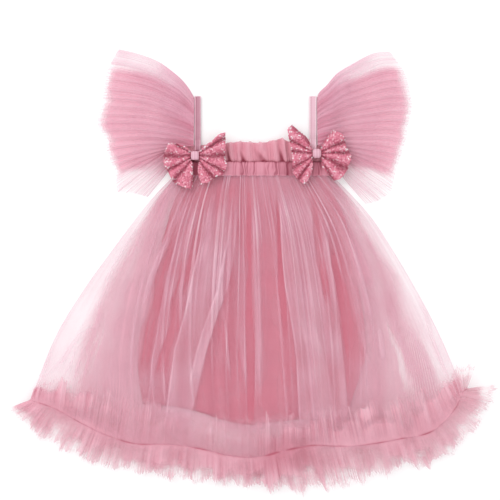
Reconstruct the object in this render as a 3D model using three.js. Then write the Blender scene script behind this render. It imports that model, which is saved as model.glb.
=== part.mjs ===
// A toddler's party dress laid flat, front up, its back panel on the surface.
// Millimetres. +X is to the right as the front is seen, +Y towards the neck, +Z up from the surface.
import * as THREE from 'three';

// Cloth thicknesses
const tulleWall = 1;
const satinWall = 1.2;
const sequinWall = 1.2;
const elasticWall = 2.2;
const seamGap = 0.3;
const steepestWall = 1.8; // most that a wall is thickened where it stands up steeply

// Band, frill and straps
const bandLeft = -96;
const bandRight = 101;
const bandFoot = 116.3;
const bandTop = 132.3;
const bandBase = 4.2;
const bandGathers = 30;
const gatherRelief = 0.8;
const frillFolds = 15;
const frillFoldHeight = 4;
const backFrillFolds = 7;
const backFrillFoldHeight = 1.6;
const frillBase = 3.4;
const strapFold = 215;

// Skirt
const skirtFoldRise = 5; // highest fold of the front
const innerFoldRise = 1;
const hemLift = 3.9; // how far the back ruffle lifts the skirt above it
const innerMark = 0.03; // place across the skirt, 0 to 1, where the inner tulle begins
const liningMark = 0.12; // and where the lining begins
const liningEnd = 0.87; // how far down the skirt the lining goes

// Ruffle, sleeves and bows
const frontRuffleWaves = 40;
const backRuffleWaves = 16;
const backRuffleRise = 2.5;
const sleevePleats = 20;
const sleeveSpread = 6.5; // pleat height at the sleeve's free edge
const sleeveLayerStep = 2.2; // from the inner sleeve layer to the outer one
const bowPleats = 5;
const bowBase = 10.2;
const knotBase = 5.5;
const knotHeight = 11.5;

// Turns rows of numbers into rows with named columns.
function table(names, rows) {
  const columns = names.split(' ');
  return rows.map((row) => Object.fromEntries(columns.map((column, index) => [column, row[index]])));
}

// Height that changes in straight steps between rows of [place, value].
function ramp(rows) {
  return (place) => {
    const next = rows.findIndex(([at]) => at >= place);
    if (next === 0) return rows[0][1];
    if (next < 0) return rows[rows.length - 1][1];
    const [fromAt, fromValue] = rows[next - 1];
    const [toAt, toValue] = rows[next];
    return THREE.MathUtils.mapLinear(place, fromAt, toAt, fromValue, toValue);
  };
}

const wave = (turns) => 0.5 - 0.5 * Math.cos(2 * Math.PI * turns);
const steps = (count, from = 0, to = 1) => Array.from(
  { length: count + 1 },
  (_, index) => from + ((to - from) * index) / count,
);
const mix = (from, to, share) => [0, 1].map((axis) => from[axis] + (to[axis] - from[axis]) * share);

// A smooth line through points, walked by its length or by its points.
function smooth(points, byPoint = false) {
  const corners = points.map(([x, y]) => new THREE.Vector3(x, y, 0));
  const curve = new THREE.CatmullRomCurve3(corners, false, 'centripetal');
  curve.arcLengthDivisions = 400;
  return (share) => {
    const point = byPoint ? curve.getPoint(share) : curve.getPointAt(share);
    return [point.x, point.y];
  };
}

// Straight lines through points, walked by length.
function straight(points) {
  const path = new THREE.CurvePath();
  for (let index = 1; index < points.length; index += 1) {
    path.add(new THREE.LineCurve(new THREE.Vector2(...points[index - 1]), new THREE.Vector2(...points[index])));
  }
  return (share) => path.getPoint(share).toArray();
}

// The flat shape of a cloth piece, filled in between its four edges.
function patch({ near, far, start, end }) {
  const corner = [near(0), near(1), far(0), far(1)];
  return (across, down) => {
    const [n, f, s, e] = [near(across), far(across), start(down), end(down)];
    return [0, 1].map((axis) => (1 - down) * (n[axis] - (1 - across) * corner[0][axis] - across * corner[1][axis])
      + down * (f[axis] - (1 - across) * corner[2][axis] - across * corner[3][axis])
      + (1 - across) * s[axis] + across * e[axis]);
  };
}

function closedMesh(name, finish, positions, faces) {
  const geometry = new THREE.BufferGeometry();
  let volume = 0;
  const [a, b, c] = [new THREE.Vector3(), new THREE.Vector3(), new THREE.Vector3()];
  for (const [i, j, k] of faces) {
    a.fromArray(positions, 3 * i);
    b.fromArray(positions, 3 * j);
    c.fromArray(positions, 3 * k);
    volume += a.dot(b.cross(c));
  }
  const outward = volume > 0 ? faces : faces.map(([i, j, k]) => [i, k, j]);
  geometry.setAttribute('position', new THREE.Float32BufferAttribute(positions, 3));
  geometry.setIndex(outward.flat());
  geometry.computeVertexNormals();
  const mesh = new THREE.Mesh(geometry, finish);
  mesh.name = name;
  return mesh;
}

// A cloth piece: its flat shape, the height of its underside, and a wall that keeps its
// thickness where the cloth stands up steeply.
function cloth(name, finish, { across, down, place, underside, wall, relief = () => 0 }) {
  const width = across.length;
  const points = down.flatMap((v) => across.map((u) => [...place(u, v), underside(u, v)]));
  const slope = (index, other) => {
    const [x, y, z] = points[index];
    const [nextX, nextY, nextZ] = points[other];
    return Math.abs(nextZ - z) / Math.hypot(nextX - x, nextY - y);
  };
  const top = points.map(([x, y, z], index) => {
    const column = index % width;
    const row = (index - column) / width;
    const around = [];
    if (column > 0) around.push(slope(index, index - 1));
    if (column < width - 1) around.push(slope(index, index + 1));
    if (row > 0) around.push(slope(index, index - width));
    if (row < down.length - 1) around.push(slope(index, index + width));
    const stretch = Math.min(steepestWall, Math.hypot(1, Math.max(...around)));
    return [x, y, z + wall * stretch + relief(across[column], down[row])];
  });
  const below = points.length;
  const faces = [];
  for (let row = 0; row < down.length - 1; row += 1) {
    for (let column = 0; column < width - 1; column += 1) {
      const first = row * width + column;
      const [p, q, r, s] = [first, first + 1, first + width + 1, first + width];
      faces.push([p, q, r], [p, r, s], [p + below, r + below, q + below], [p + below, s + below, r + below]);
    }
  }
  const rim = [];
  for (let column = 0; column < width - 1; column += 1) rim.push(column);
  for (let row = 0; row < down.length - 1; row += 1) rim.push(row * width + width - 1);
  for (let column = width - 1; column > 0; column -= 1) rim.push((down.length - 1) * width + column);
  for (let row = down.length - 1; row > 0; row -= 1) rim.push(row * width);
  rim.forEach((from, index) => {
    const to = rim[(index + 1) % rim.length];
    faces.push([from, from + below, to + below], [from, to + below, to]);
  });
  return closedMesh(name, finish, [...top, ...points].flat(), faces);
}

const fabric = (color, roughness) => new THREE.MeshStandardMaterial({ color, roughness, metalness: 0 });
const finish = {
  sheerTulle: fabric('#e3b4c2', 0.9),
  denseTulle: fabric('#d98fa4', 0.9),
  lining: fabric('#cc7c90', 0.8),
  elastic: fabric('#cf8799', 0.85),
  satin: fabric('#dda6b5', 0.45),
  sequins: fabric('#c9607c', 0.3),
};

// Stations along the hem, left to right: the seam that holds the ruffle, and the free edges of its
// upper and lower wings.
const hemStations = table('seamX seamY upperX upperY lowerX lowerY', [
  [-276, -165, -271, -150, -300, -174],
  [-246, -175, -241, -140, -266, -207],
  [-211, -194, -204, -145, -229, -227],
  [-179, -209, -170, -160, -189, -244],
  [-145, -219, -139, -167, -151, -251],
  [-106, -220, -101, -176, -111, -259],
  [-65, -225, -64, -184, -67, -264],
  [-29, -234, -29, -189, -29, -268],
  [7, -236, 7, -191, 9, -272],
  [40, -228, 40, -188, 49, -275],
  [77, -221, 74, -182, 92, -272],
  [107, -222, 100, -178, 120, -269],
  [137, -221, 126, -174, 146, -262],
  [186, -213, 174, -164, 196, -246],
  [225, -204, 211, -155, 242, -234],
  [255, -175, 240, -145, 281, -196],
  [265, -154, 260, -129, 299, -157],
]);
const hemSeam = smooth(hemStations.map((row) => [row.seamX, row.seamY]), true);
const upperEdge = smooth(hemStations.map((row) => [row.upperX, row.upperY]), true);
const lowerEdge = smooth(hemStations.map((row) => [row.lowerX, row.lowerY]), true);

const skirtShape = patch({
  near: straight([[bandLeft, bandFoot - seamGap], [bandRight, bandFoot - seamGap]]),
  far: hemSeam,
  start: smooth([[-96, 116], [-120, 91], [-144, 62], [-174, 22], [-210, -28], [-245, -86], [-276, -165]]),
  end: smooth([[101, 116], [126, 91], [150, 64], [179, 20], [209, -31], [239, -90], [265, -154]]),
});

// How far in from each side the inner tulle and the lining begin, as a share of the skirt's width.
const innerInset = ramp([[0, 0.016], [1, 0.07]]);
const liningInset = ramp([[0, 0.038], [1, 0.215]]);

// Every skirt layer uses the same columns, so that one lies exactly on another.
function skirtPlace(column, down) {
  const inner = innerInset(down);
  const lining = liningInset(down);
  const across = ramp([
    [0, 0], [innerMark, inner], [liningMark, lining],
    [1 - liningMark, 1 - lining], [1 - innerMark, 1 - inner], [1, 1],
  ])(column);
  return skirtShape(across, down);
}

const skirtRows = [0, 0.22, 0.6, 0.88, 0.93, 1];
const liftAt = ramp([[0, 0], [0.88, 0], [0.93, hemLift], [1, hemLift]]);

// Heights of the undersides: each layer lies on the one below, and the upper ones come down
// at the sides, past the edges of what they cover.
const layerStep = tulleWall + seamGap;
const outerFrontHeight = 5 * layerStep + innerFoldRise;
const sided = (rows) => ramp([...rows, ...rows.map(([at, value]) => [1 - at, value]).reverse()]);
const innerFrontRise = sided([[innerMark, 2 * layerStep], [liningMark, 4 * layerStep]]);
const outerFrontRise = sided([[0, layerStep], [innerMark, 3 * layerStep], [liningMark, outerFrontHeight]]);

// The folds of the skirt's front, left to right: where each starts at the band and ends at the hem,
// its height as a share of the highest, and its half width, all across the skirt from 0 to 1.
const skirtFolds = table('top hem height half', [
  [0.035, 0.03, 0.4, 0.02], [0.07, 0.05, 0.5, 0.02], [0.11, 0.07, 0.6, 0.02], [0.16, 0.088, 0.7, 0.02],
  [0.196, 0.12, 0.7, 0.02], [0.235, 0.165, 0.7, 0.022], [0.28, 0.21, 0.8, 0.022], [0.325, 0.25, 0.7, 0.02],
  [0.375, 0.29, 1, 0.028], [0.405, 0.33, 1, 0.025], [0.44, 0.37, 0.7, 0.018], [0.468, 0.41, 0.6, 0.018],
  [0.5, 0.455, 0.6, 0.02], [0.54, 0.513, 0.9, 0.03], [0.59, 0.56, 0.7, 0.022], [0.63, 0.61, 0.7, 0.022],
  [0.67, 0.67, 1, 0.032], [0.715, 0.73, 0.8, 0.025], [0.755, 0.785, 0.8, 0.022], [0.8, 0.835, 0.7, 0.022],
  [0.84, 0.88, 0.8, 0.022], [0.88, 0.915, 0.7, 0.02], [0.92, 0.945, 0.5, 0.02], [0.96, 0.97, 0.4, 0.02],
]);
const foldStrength = ramp([[0, 0.25], [0.22, 0.8], [0.6, 1], [0.88, 0.42], [1, 0.4]]);

function skirtFoldHeight(column, down) {
  const highest = skirtFolds.reduce((most, fold) => {
    const centre = fold.top + (fold.hem - fold.top) * down;
    const away = Math.min(1, Math.abs(column - centre) / fold.half);
    return Math.max(most, fold.height * wave(0.5 + away / 2));
  }, 0);
  return skirtFoldRise * foldStrength(down) * highest;
}

const innerFade = sided([[innerMark, 0], [liningMark, 1]]);
const innerStrength = ramp([[0, 0], [0.22, 1], [0.88, 1], [0.93, 0]]);
const outerDrop = ramp([[0, innerFoldRise], [0.22, 0], [1, 0]]);

function skirt() {
  const common = { place: skirtPlace, wall: tulleWall };
  const liningRows = [0, 0.22, 0.6, liningEnd];
  const middle = (count) => steps(count, liningMark, 1 - liningMark);
  const withSides = (side, columns) => [...side, ...columns, ...side.map((column) => 1 - column).reverse()];
  const innerSide = (count) => steps(count, innerMark, liningMark).slice(0, -1);
  const backColumns = withSides(innerSide(2), middle(15));
  const innerWaves = 8;
  return [
    cloth('skirt_outer_back', finish.sheerTulle, {
      ...common,
      across: [0, ...backColumns, 1],
      down: skirtRows,
      underside: (column, down) => liftAt(down),
    }),
    cloth('skirt_inner_back', finish.denseTulle, {
      ...common,
      across: backColumns,
      down: skirtRows,
      underside: (column, down) => layerStep + liftAt(down),
    }),
    cloth('skirt_lining_back', finish.lining, {
      ...common,
      across: middle(15),
      down: liningRows,
      underside: () => 2 * layerStep,
    }),
    cloth('skirt_lining_front', finish.lining, {
      ...common,
      across: middle(15),
      down: liningRows,
      underside: () => 3 * layerStep,
    }),
    cloth('skirt_inner_front', finish.denseTulle, {
      ...common,
      across: withSides(innerSide(2), middle(30)),
      down: skirtRows,
      underside: (column, down) => innerFrontRise(column) + liftAt(down)
        + 0.8 * innerFoldRise * innerFade(column) * innerStrength(down) * wave(innerWaves * column),
    }),
    cloth('skirt_outer_front', finish.sheerTulle, {
      ...common,
      across: withSides([0, innerMark / 2, ...innerSide(6)], middle(60)),
      down: skirtRows,
      underside: (column, down) => outerFrontRise(column) - outerDrop(down) * innerFade(column)
        + liftAt(down) + skirtFoldHeight(column, down),
    }),
  ];
}

// The ruffle is one gathered strip sewn on along its middle. Its rows run from the lower free edge
// at 0 over the seam at 0.5 to the upper free edge at 1.
const overSkirt = hemLift + skirtFoldRise * foldStrength(0.88) + tulleWall * 1.3 + seamGap;
const seamHeight = sided([[0, layerStep + overSkirt], [0.07, 3 * layerStep + overSkirt],
  [0.215, outerFrontHeight + overSkirt]]);
const ruffleRows = table('at lift wave share', [
  [0, 4.3, 9, 0], [0.25, 8, 8, 0.35], [0.5, 0, 1.4, 1], [0.75, 0.6, 6.5, 1], [1, 0, 9, 1],
]);
const ruffleLift = ramp(ruffleRows.map((row) => [row.at, row.lift]));
const ruffleWave = ramp(ruffleRows.map((row) => [row.at, row.wave]));
const ruffleShare = ramp(ruffleRows.map((row) => [row.at, row.share]));
const endPuff = ramp([[0, 0.7], [0.06, 1], [0.9, 1], [1, 1.4]]);

const unevenTurns = (across, waves) => waves * across + 0.35 * Math.sin(across * 41) + 0.2 * Math.sin(across * 97);

function rufflePlace(across, row) {
  const seam = hemSeam(across);
  const frill = 1 + 0.07 * Math.sin(across * 130) + 0.04 * Math.sin(across * 311);
  const free = row < 0.5 ? lowerEdge(across) : upperEdge(across);
  return mix(seam, free, Math.abs(row - 0.5) * 2 * frill);
}

function ruffles() {
  const turned = (row) => (row > 0.5 ? 0.5 : 0);
  return [
    cloth('hem_ruffle_back', finish.denseTulle, {
      across: steps(backRuffleWaves * 3),
      down: [0, 0.25, 0.5, 1],
      place: (across, row) => {
        if (row <= 0.5) return rufflePlace(across, row);
        return skirtShape(across, 1 - 0.11 * (row - 0.5));
      },
      underside: (across, row) => backRuffleRise * (1 - 0.2 * row) * wave(unevenTurns(across, backRuffleWaves)),
      wall: tulleWall,
    }),
    cloth('hem_ruffle_front', finish.denseTulle, {
      across: steps(frontRuffleWaves * 3),
      down: ruffleRows.map((row) => row.at),
      place: rufflePlace,
      underside: (across, row) => ruffleLift(row) + ruffleShare(row) * seamHeight(across)
        + ruffleWave(row) * endPuff(across) * wave(unevenTurns(across, frontRuffleWaves) + turned(row)),
      wall: tulleWall,
    }),
  ];
}

function band() {
  const box = patch({
    near: straight([[bandLeft, bandFoot], [bandRight, bandFoot]]),
    far: straight([[bandLeft, bandTop], [bandRight, bandTop]]),
    start: straight([[bandLeft, bandFoot], [bandLeft, bandTop]]),
    end: straight([[bandRight, bandFoot], [bandRight, bandTop]]),
  });
  const gather = (across) => gatherRelief * wave(bandGathers * across);
  return [
    cloth('band_back', finish.elastic, {
      across: steps(12),
      down: [0, 1],
      place: box,
      underside: () => 0,
      wall: elasticWall,
    }),
    cloth('band_front', finish.elastic, {
      across: steps(bandGathers * 2),
      down: [0, 0.5, 1],
      place: box,
      underside: () => bandBase,
      wall: elasticWall,
      relief: (across, up) => gather(across) * (0.4 + 0.6 * wave(0.15 + up * 0.7)),
    }),
  ];
}

// The frill is the cloth that stands above the elastic, with soft leaning folds.
function frills() {
  const foot = bandTop + seamGap;
  const outline = patch({
    near: straight([[bandLeft, foot], [bandRight, foot]]),
    far: smooth([[-96, 152], [-64, 154], [-32, 156], [-16, 158], [14, 157], [30, 160], [39, 162], [46, 159],
      [74, 155], [101, 151]]),
    start: straight([[bandLeft, foot], [-96, 152]]),
    end: straight([[bandRight, foot], [101, 151]]),
  });
  const frontRise = ramp([[0, bandBase], [0.5, frillBase], [1, frillBase]]);
  const frontFold = ramp([[0, 0.35], [0.5, 0.8], [1, 1]]);
  const underKnots = ramp([[0.08, 1], [0.1, 0], [0.17, 0], [0.19, 1], [0.84, 1], [0.86, 0], [0.94, 0], [0.96, 1]]);
  return [
    cloth('neck_frill_back', finish.denseTulle, {
      across: steps(backFrillFolds * 4),
      down: [0, 0.5, 1],
      place: outline,
      underside: (across, up) => backFrillFoldHeight * up * wave(backFrillFolds * across),
      wall: tulleWall,
    }),
    cloth('neck_frill_front', finish.denseTulle, {
      across: steps(frillFolds * 4),
      down: [0, 0.5, 1],
      place: outline,
      underside: (across, up) => frontRise(up)
        + frillFoldHeight * underKnots(across) * frontFold(up) * wave(frillFolds * across + 0.3 * up + 0.3 * Math.sin(across * 17)),
      wall: tulleWall,
    }),
  ];
}

// A strap is one narrow band, folded over at the shoulder so that its two legs lie on each other.
function strap(name, left, right, foot) {
  const gapBetween = 0.6;
  const legTop = 2 * satinWall + gapBetween;
  const bend = legTop / 2;
  const outline = new THREE.Shape();
  outline.moveTo(foot, 0);
  outline.lineTo(strapFold - bend, 0);
  outline.absarc(strapFold - bend, bend, bend, -Math.PI / 2, Math.PI / 2, false);
  outline.lineTo(foot, legTop);
  outline.lineTo(foot, legTop - satinWall);
  outline.lineTo(strapFold - bend, legTop - satinWall);
  outline.absarc(strapFold - bend, bend, gapBetween / 2, Math.PI / 2, -Math.PI / 2, true);
  outline.lineTo(foot, satinWall);
  outline.closePath();
  const geometry = new THREE.ExtrudeGeometry(outline, { depth: right - left, bevelEnabled: false, curveSegments: 6 });
  geometry.applyMatrix4(new THREE.Matrix4().makeBasis(
    new THREE.Vector3(0, 1, 0),
    new THREE.Vector3(0, 0, 1),
    new THREE.Vector3(1, 0, 0),
  ));
  geometry.translate(left, 0, 0);
  const mesh = new THREE.Mesh(geometry, finish.satin);
  mesh.name = name;
  return mesh;
}

// A sleeve is a pleated fan: its root runs down the strap to the band's corner, and the pleats
// spread from there to the free edge.
const sleeveShapes = {
  left: patch({
    near: straight([[-71, 213], [-72, 173], [-98.5, 156], [-96.7, 130]]),
    far: smooth([[-166, 274], [-175, 257], [-180, 245], [-186, 209], [-192, 186], [-191, 176], [-184, 165],
      [-180, 146], [-176, 134], [-169, 117], [-167, 94]]),
    start: smooth([[-71, 213], [-76, 222], [-86, 235], [-101, 248], [-117, 259], [-144, 269], [-166, 274]]),
    end: smooth([[-96.7, 130], [-114, 106], [-129.5, 89], [-145, 95], [-167, 94]]),
  }),
  right: patch({
    near: straight([[82.5, 212.5], [83.5, 168], [103.5, 155], [101.8, 130]]),
    far: smooth([[174, 271], [184, 257], [192, 245], [198, 224], [201, 202], [197, 182], [195, 165], [190, 149],
      [184, 130], [177, 105], [174, 95]]),
    start: smooth([[82.5, 212.5], [85, 219], [95, 229], [107, 243], [126, 255], [154, 269], [174, 271]]),
    end: smooth([[101.8, 130], [120, 107], [144, 80], [155, 82], [174, 95]]),
  }),
};

function sleeve(side) {
  const columns = sleevePleats * 3;
  const innerFrom = 7 / columns;
  const innerTo = 1 - 7 / columns;
  const spread = ramp([[0, 0.18], [0.15, 0.35], [0.5, 0.7], [1, 1]]);
  const pleat = (along, out) => sleeveSpread * spread(out) * wave(sleevePleats * along);
  const overInner = ramp([[0, 0], [innerFrom, sleeveLayerStep], [innerTo, sleeveLayerStep], [1, 0]]);
  const place = (along, out) => sleeveShapes[side](along, out);
  return [
    cloth(`sleeve_${side}_inner`, finish.denseTulle, {
      across: steps(columns - 14, innerFrom, innerTo),
      down: [0, 0.15, 0.5, 0.95],
      place,
      underside: pleat,
      wall: tulleWall,
    }),
    cloth(`sleeve_${side}_outer`, finish.sheerTulle, {
      across: steps(columns),
      down: [0, 0.15, 0.5, 0.95, 1],
      place,
      underside: (along, out) => pleat(along, out) + overInner(along),
      wall: tulleWall,
    }),
  ];
}

// Bow wings: root along the knot, free edge, and the two sides between them.
const bowWings = {
  bow_left_wing_left: patch({
    near: straight([[-75.4, 146], [-75.4, 134.5], [-73.5, 130], [-72.5, 104]]),
    far: smooth([[-102, 156], [-109, 140], [-109, 131], [-104, 121], [-99, 111], [-94, 105]]),
    start: smooth([[-75.4, 146], [-84, 152], [-92, 155], [-102, 156]]),
    end: smooth([[-72.5, 104], [-75, 99.5], [-84, 101], [-94, 105]]),
  }),
  bow_left_wing_right: patch({
    near: straight([[-64.6, 146], [-64.6, 134.5], [-66, 121], [-62, 105]]),
    far: smooth([[-32, 169], [-32, 154], [-32, 137], [-31, 125], [-34, 117]]),
    start: smooth([[-64.6, 146], [-54, 154], [-46, 161], [-39, 167], [-32, 169]]),
    end: smooth([[-62, 105], [-52, 108], [-44, 114], [-34, 117]]),
  }),
  bow_right_wing_left: patch({
    near: straight([[76.4, 148], [76.4, 137.5], [76, 122], [72, 111]]),
    far: smooth([[51, 179], [46, 172], [49, 155], [52, 134], [52, 121], [57, 112]]),
    start: smooth([[76.4, 148], [70, 162], [62, 169], [51, 179]]),
    end: smooth([[72, 111], [66, 106], [57, 112]]),
  }),
  bow_right_wing_right: patch({
    near: straight([[88.1, 148], [88.1, 137.5], [90, 126], [104, 109]]),
    far: smooth([[102, 172], [115, 166], [119, 150], [124, 142], [124, 134], [120, 122]]),
    start: smooth([[88.1, 148], [89, 154], [96, 165], [102, 172]]),
    end: smooth([[104, 109], [112, 112], [120, 122]]),
  }),
};

function bowWing(name) {
  const crown = ramp([[0, 1.5], [0.35, 2.2], [0.7, 1.8], [1, 0]]);
  const pleatRise = ramp([[0, 0.8], [0.35, 2.5], [0.7, 4], [1, 5]]);
  return cloth(name, finish.sequins, {
    across: steps(bowPleats * 4),
    down: [0, 0.35, 0.7, 1],
    place: bowWings[name],
    underside: (along, out) => bowBase + crown(out) + pleatRise(out) * wave(bowPleats * along + 0.2),
    wall: sequinWall,
  });
}

function knot(name, left, right, foot, head, cornerRadius) {
  const bevel = 1.2;
  const [x0, x1, y0, y1] = [left + bevel, right - bevel, foot + bevel, head - bevel];
  const outline = new THREE.Shape();
  outline.moveTo(x0 + cornerRadius, y0);
  outline.absarc(x1 - cornerRadius, y0 + cornerRadius, cornerRadius, -Math.PI / 2, 0, false);
  outline.absarc(x1 - cornerRadius, y1 - cornerRadius, cornerRadius, 0, Math.PI / 2, false);
  outline.absarc(x0 + cornerRadius, y1 - cornerRadius, cornerRadius, Math.PI / 2, Math.PI, false);
  outline.absarc(x0 + cornerRadius, y0 + cornerRadius, cornerRadius, Math.PI, Math.PI * 1.5, false);
  const geometry = new THREE.ExtrudeGeometry(outline, {
    depth: knotHeight - 2 * bevel,
    bevelThickness: bevel,
    bevelSize: bevel,
    bevelSegments: 1,
    curveSegments: 3,
  });
  geometry.translate(0, 0, knotBase + bevel);
  const mesh = new THREE.Mesh(geometry, finish.satin);
  mesh.name = name;
  return mesh;
}

const dress = new THREE.Group();
dress.add(
  ...skirt(),
  ...ruffles(),
  ...band(),
  ...frills(),
  strap('strap_left', -70.5, -63, 154.5),
  strap('strap_right', 73, 82, 155.5),
  ...sleeve('left'),
  ...sleeve('right'),
  ...Object.keys(bowWings).map(bowWing),
  knot('bow_left_knot', -75, -65, 134.7, 146, 1.5),
  knot('bow_right_knot', 76.8, 87.7, 137, 149, 3.5),
);

// The origin is under the middle of the whole dress.
const bounds = new THREE.Box3().setFromObject(dress);
const middle = bounds.getCenter(new THREE.Vector3());
dress.position.set(-middle.x, -middle.y, -bounds.min.z);

export default dress;
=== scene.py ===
import math

import bpy
import numpy as np
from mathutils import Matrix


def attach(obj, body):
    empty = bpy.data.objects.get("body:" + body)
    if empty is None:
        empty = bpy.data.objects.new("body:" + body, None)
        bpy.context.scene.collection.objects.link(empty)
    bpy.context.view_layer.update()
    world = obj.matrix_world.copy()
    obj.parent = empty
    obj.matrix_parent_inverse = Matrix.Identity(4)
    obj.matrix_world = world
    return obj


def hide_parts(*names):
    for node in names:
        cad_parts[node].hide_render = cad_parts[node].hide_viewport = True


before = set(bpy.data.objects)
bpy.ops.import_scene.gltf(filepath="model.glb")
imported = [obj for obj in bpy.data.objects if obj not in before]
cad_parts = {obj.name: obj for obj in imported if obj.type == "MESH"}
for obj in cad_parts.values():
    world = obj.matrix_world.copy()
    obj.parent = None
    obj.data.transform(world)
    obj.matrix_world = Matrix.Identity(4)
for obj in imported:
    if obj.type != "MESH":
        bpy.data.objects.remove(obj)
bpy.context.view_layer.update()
print("frame loaded:", len(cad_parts), "cloth pieces")

mm = 0.001
patternMiddle = np.array([-1.433, -2.747])  # the frame's origin in the pattern's millimetres
seed = 7


# Helpers for lines and flat shapes, all in the pattern's millimetres

def asLine(points, places):
    return lambda share: np.stack([np.interp(share, places, points[:, axis]) for axis in (0, 1)], -1)


def lengthPlaces(points):
    length = np.concatenate([[0], np.cumsum(np.linalg.norm(np.diff(points, axis=0), axis=1))])
    return length / length[-1]


def smoothLine(points, byPoint=False):
    knots = np.array(points, float)
    ends = np.vstack([2 * knots[0] - knots[1], knots, 2 * knots[-1] - knots[-2]])
    share = np.linspace(0, 1, 31)[:, None]
    parts = []
    for index in range(len(knots) - 1):
        a, b, c, d = ends[index:index + 4]
        ab, bc, cd = (np.linalg.norm(step) ** 0.5 for step in (b - a, c - b, d - c))
        leave = ((b - a) / ab - (c - a) / (ab + bc) + (c - b) / bc) * bc
        arrive = ((c - b) / bc - (d - b) / (bc + cd) + (d - c) / cd) * bc
        curve = (b + leave * share + (3 * (c - b) - 2 * leave - arrive) * share ** 2
                 + (2 * (b - c) + leave + arrive) * share ** 3)
        parts.append(curve[:-1])
    line = np.vstack(parts + [knots[-1:]])
    return asLine(line, np.linspace(0, 1, len(line)) if byPoint else lengthPlaces(line))


def straightLine(points):
    knots = np.array(points, float)
    return asLine(knots, lengthPlaces(knots))


def patch(near, far, start, end):
    cornerA, cornerB, cornerC, cornerD = near(0.0), near(1.0), far(0.0), far(1.0)

    def place(across, down):
        u, v = across[..., None], down[..., None]
        return ((1 - v) * (near(across) - (1 - u) * cornerA - u * cornerB)
                + v * (far(across) - (1 - u) * cornerC - u * cornerD)
                + (1 - u) * start(down) + u * end(down))

    return place


def ramp(*rows):
    places, values = zip(*rows)
    return lambda place: np.interp(place, places, values)


def softRamp(*rows):  # a ramp with rounded corners
    hard = ramp(*rows)
    return lambda place: np.mean([hard(place + step) for step in np.linspace(-0.07, 0.07, 9)], axis=0)


def sided(*rows):  # the same ramp in from both sides
    return ramp(*rows, *[(1 - place, value) for place, value in reversed(rows)])


def wave(turns):
    return 0.5 - 0.5 * np.cos(2 * np.pi * turns)


def smoothStep(low, high, value):
    share = np.clip((value - low) / (high - low), 0, 1)
    return share * share * (3 - 2 * share)


def bump(value, middle, width):  # 1 at the middle, and fading on both sides
    return np.exp(-((value - middle) / width) ** 2)


def between(low, lowEnd, highStart, high, value):  # 1 inside, with soft ends
    return smoothStep(low, lowEnd, value) * (1 - smoothStep(highStart, high, value))


def shares(count):
    return np.linspace(0, 1, count)


def softNoise(count, width, rng):  # one random value a column, blurred over neighbours
    values = rng.normal(size=count + 8 * width)
    kernel = np.hanning(2 * width + 3)[1:-1]
    smooth = np.convolve(values, kernel / kernel.sum(), mode="same")[4 * width:4 * width + count]
    return smooth / smooth.std()


def cloud(x, y, size, seedStep):  # slow random patches of about this size, from -1 to 1
    rng = np.random.default_rng(seed + seedStep)
    total = np.zeros_like(x)
    for _ in range(14):
        angle, phase = rng.uniform(0, 2 * np.pi, 2)
        pace = 2 * np.pi / (size * rng.uniform(0.8, 2.2))
        total += np.cos(pace * (x * np.cos(angle) + y * np.sin(angle)) + phase)
    return np.clip(total / 5, -1, 1)


foldEdges = {
    "width": 1.1,           # of a crisp edge, mm
    "inset": 0.7,           # of its middle from the fold's own edge, mm
    "strength": 0.399,      # how strongly it shows
    "middle": 0.64,         # how strongly the middle of a wide fold shows
    "narrow": (4, 10),      # between these widths a fold turns from a line into a wide one, mm
    "pointShare": 0.3,      # the share of its length over which a fold ends
    "points": (24, 40),     # the most of that at its foot and at its top, mm
    "beyond": 12,           # how far it fades out past its ends, mm
}


# 1 between a fold's two edges, which are rows of y, left x and right x from its top down, and most along a
# crisp edge
def laidFold(x, y, line, softLeft, softRight):
    look = foldEdges
    heights, lefts, rights = np.array(line, float)[::-1].T
    left, right = np.interp(y, heights, lefts), np.interp(y, heights, rights)
    inside = between(left - softLeft, left, right, right + softRight, x)
    wide = smoothStep(*look["narrow"], right - left)
    crisp = ((softLeft <= softRight) * bump(x - left, look["inset"], look["width"])
             + (softRight <= softLeft) * bump(x - right, -look["inset"], look["width"]))
    foot, top, beyond = heights[0], heights[-1], look["beyond"]
    footPoint, topPoint = (min(look["pointShare"] * (top - foot), most) for most in look["points"])
    ends = between(foot - beyond, foot + footPoint, top - topPoint, top + beyond, y)
    return (inside * (1 - (1 - look["middle"]) * wide) + crisp * wide * look["strength"]) * ends


# Mesh helpers

def addAttribute(mesh, name, values):
    attribute = mesh.attributes.new(name, "FLOAT", "POINT")
    attribute.data.foreach_set("value", np.asarray(values, np.float32).ravel())


def meshObject(name, vertices, faces, uvs=None):
    mesh = bpy.data.meshes.new(name)
    mesh.from_pydata(vertices, [], faces)
    mesh.polygons.foreach_set("use_smooth", [True] * len(mesh.polygons))
    if uvs is not None:
        loops = np.empty(len(mesh.loops), np.int32)
        mesh.loops.foreach_get("vertex_index", loops)
        mesh.uv_layers.new(name="cloth").data.foreach_set("uv", np.asarray(uvs, np.float32)[loops].ravel())
    obj = bpy.data.objects.new(name, mesh)
    bpy.context.collection.objects.link(obj)
    return obj


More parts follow.
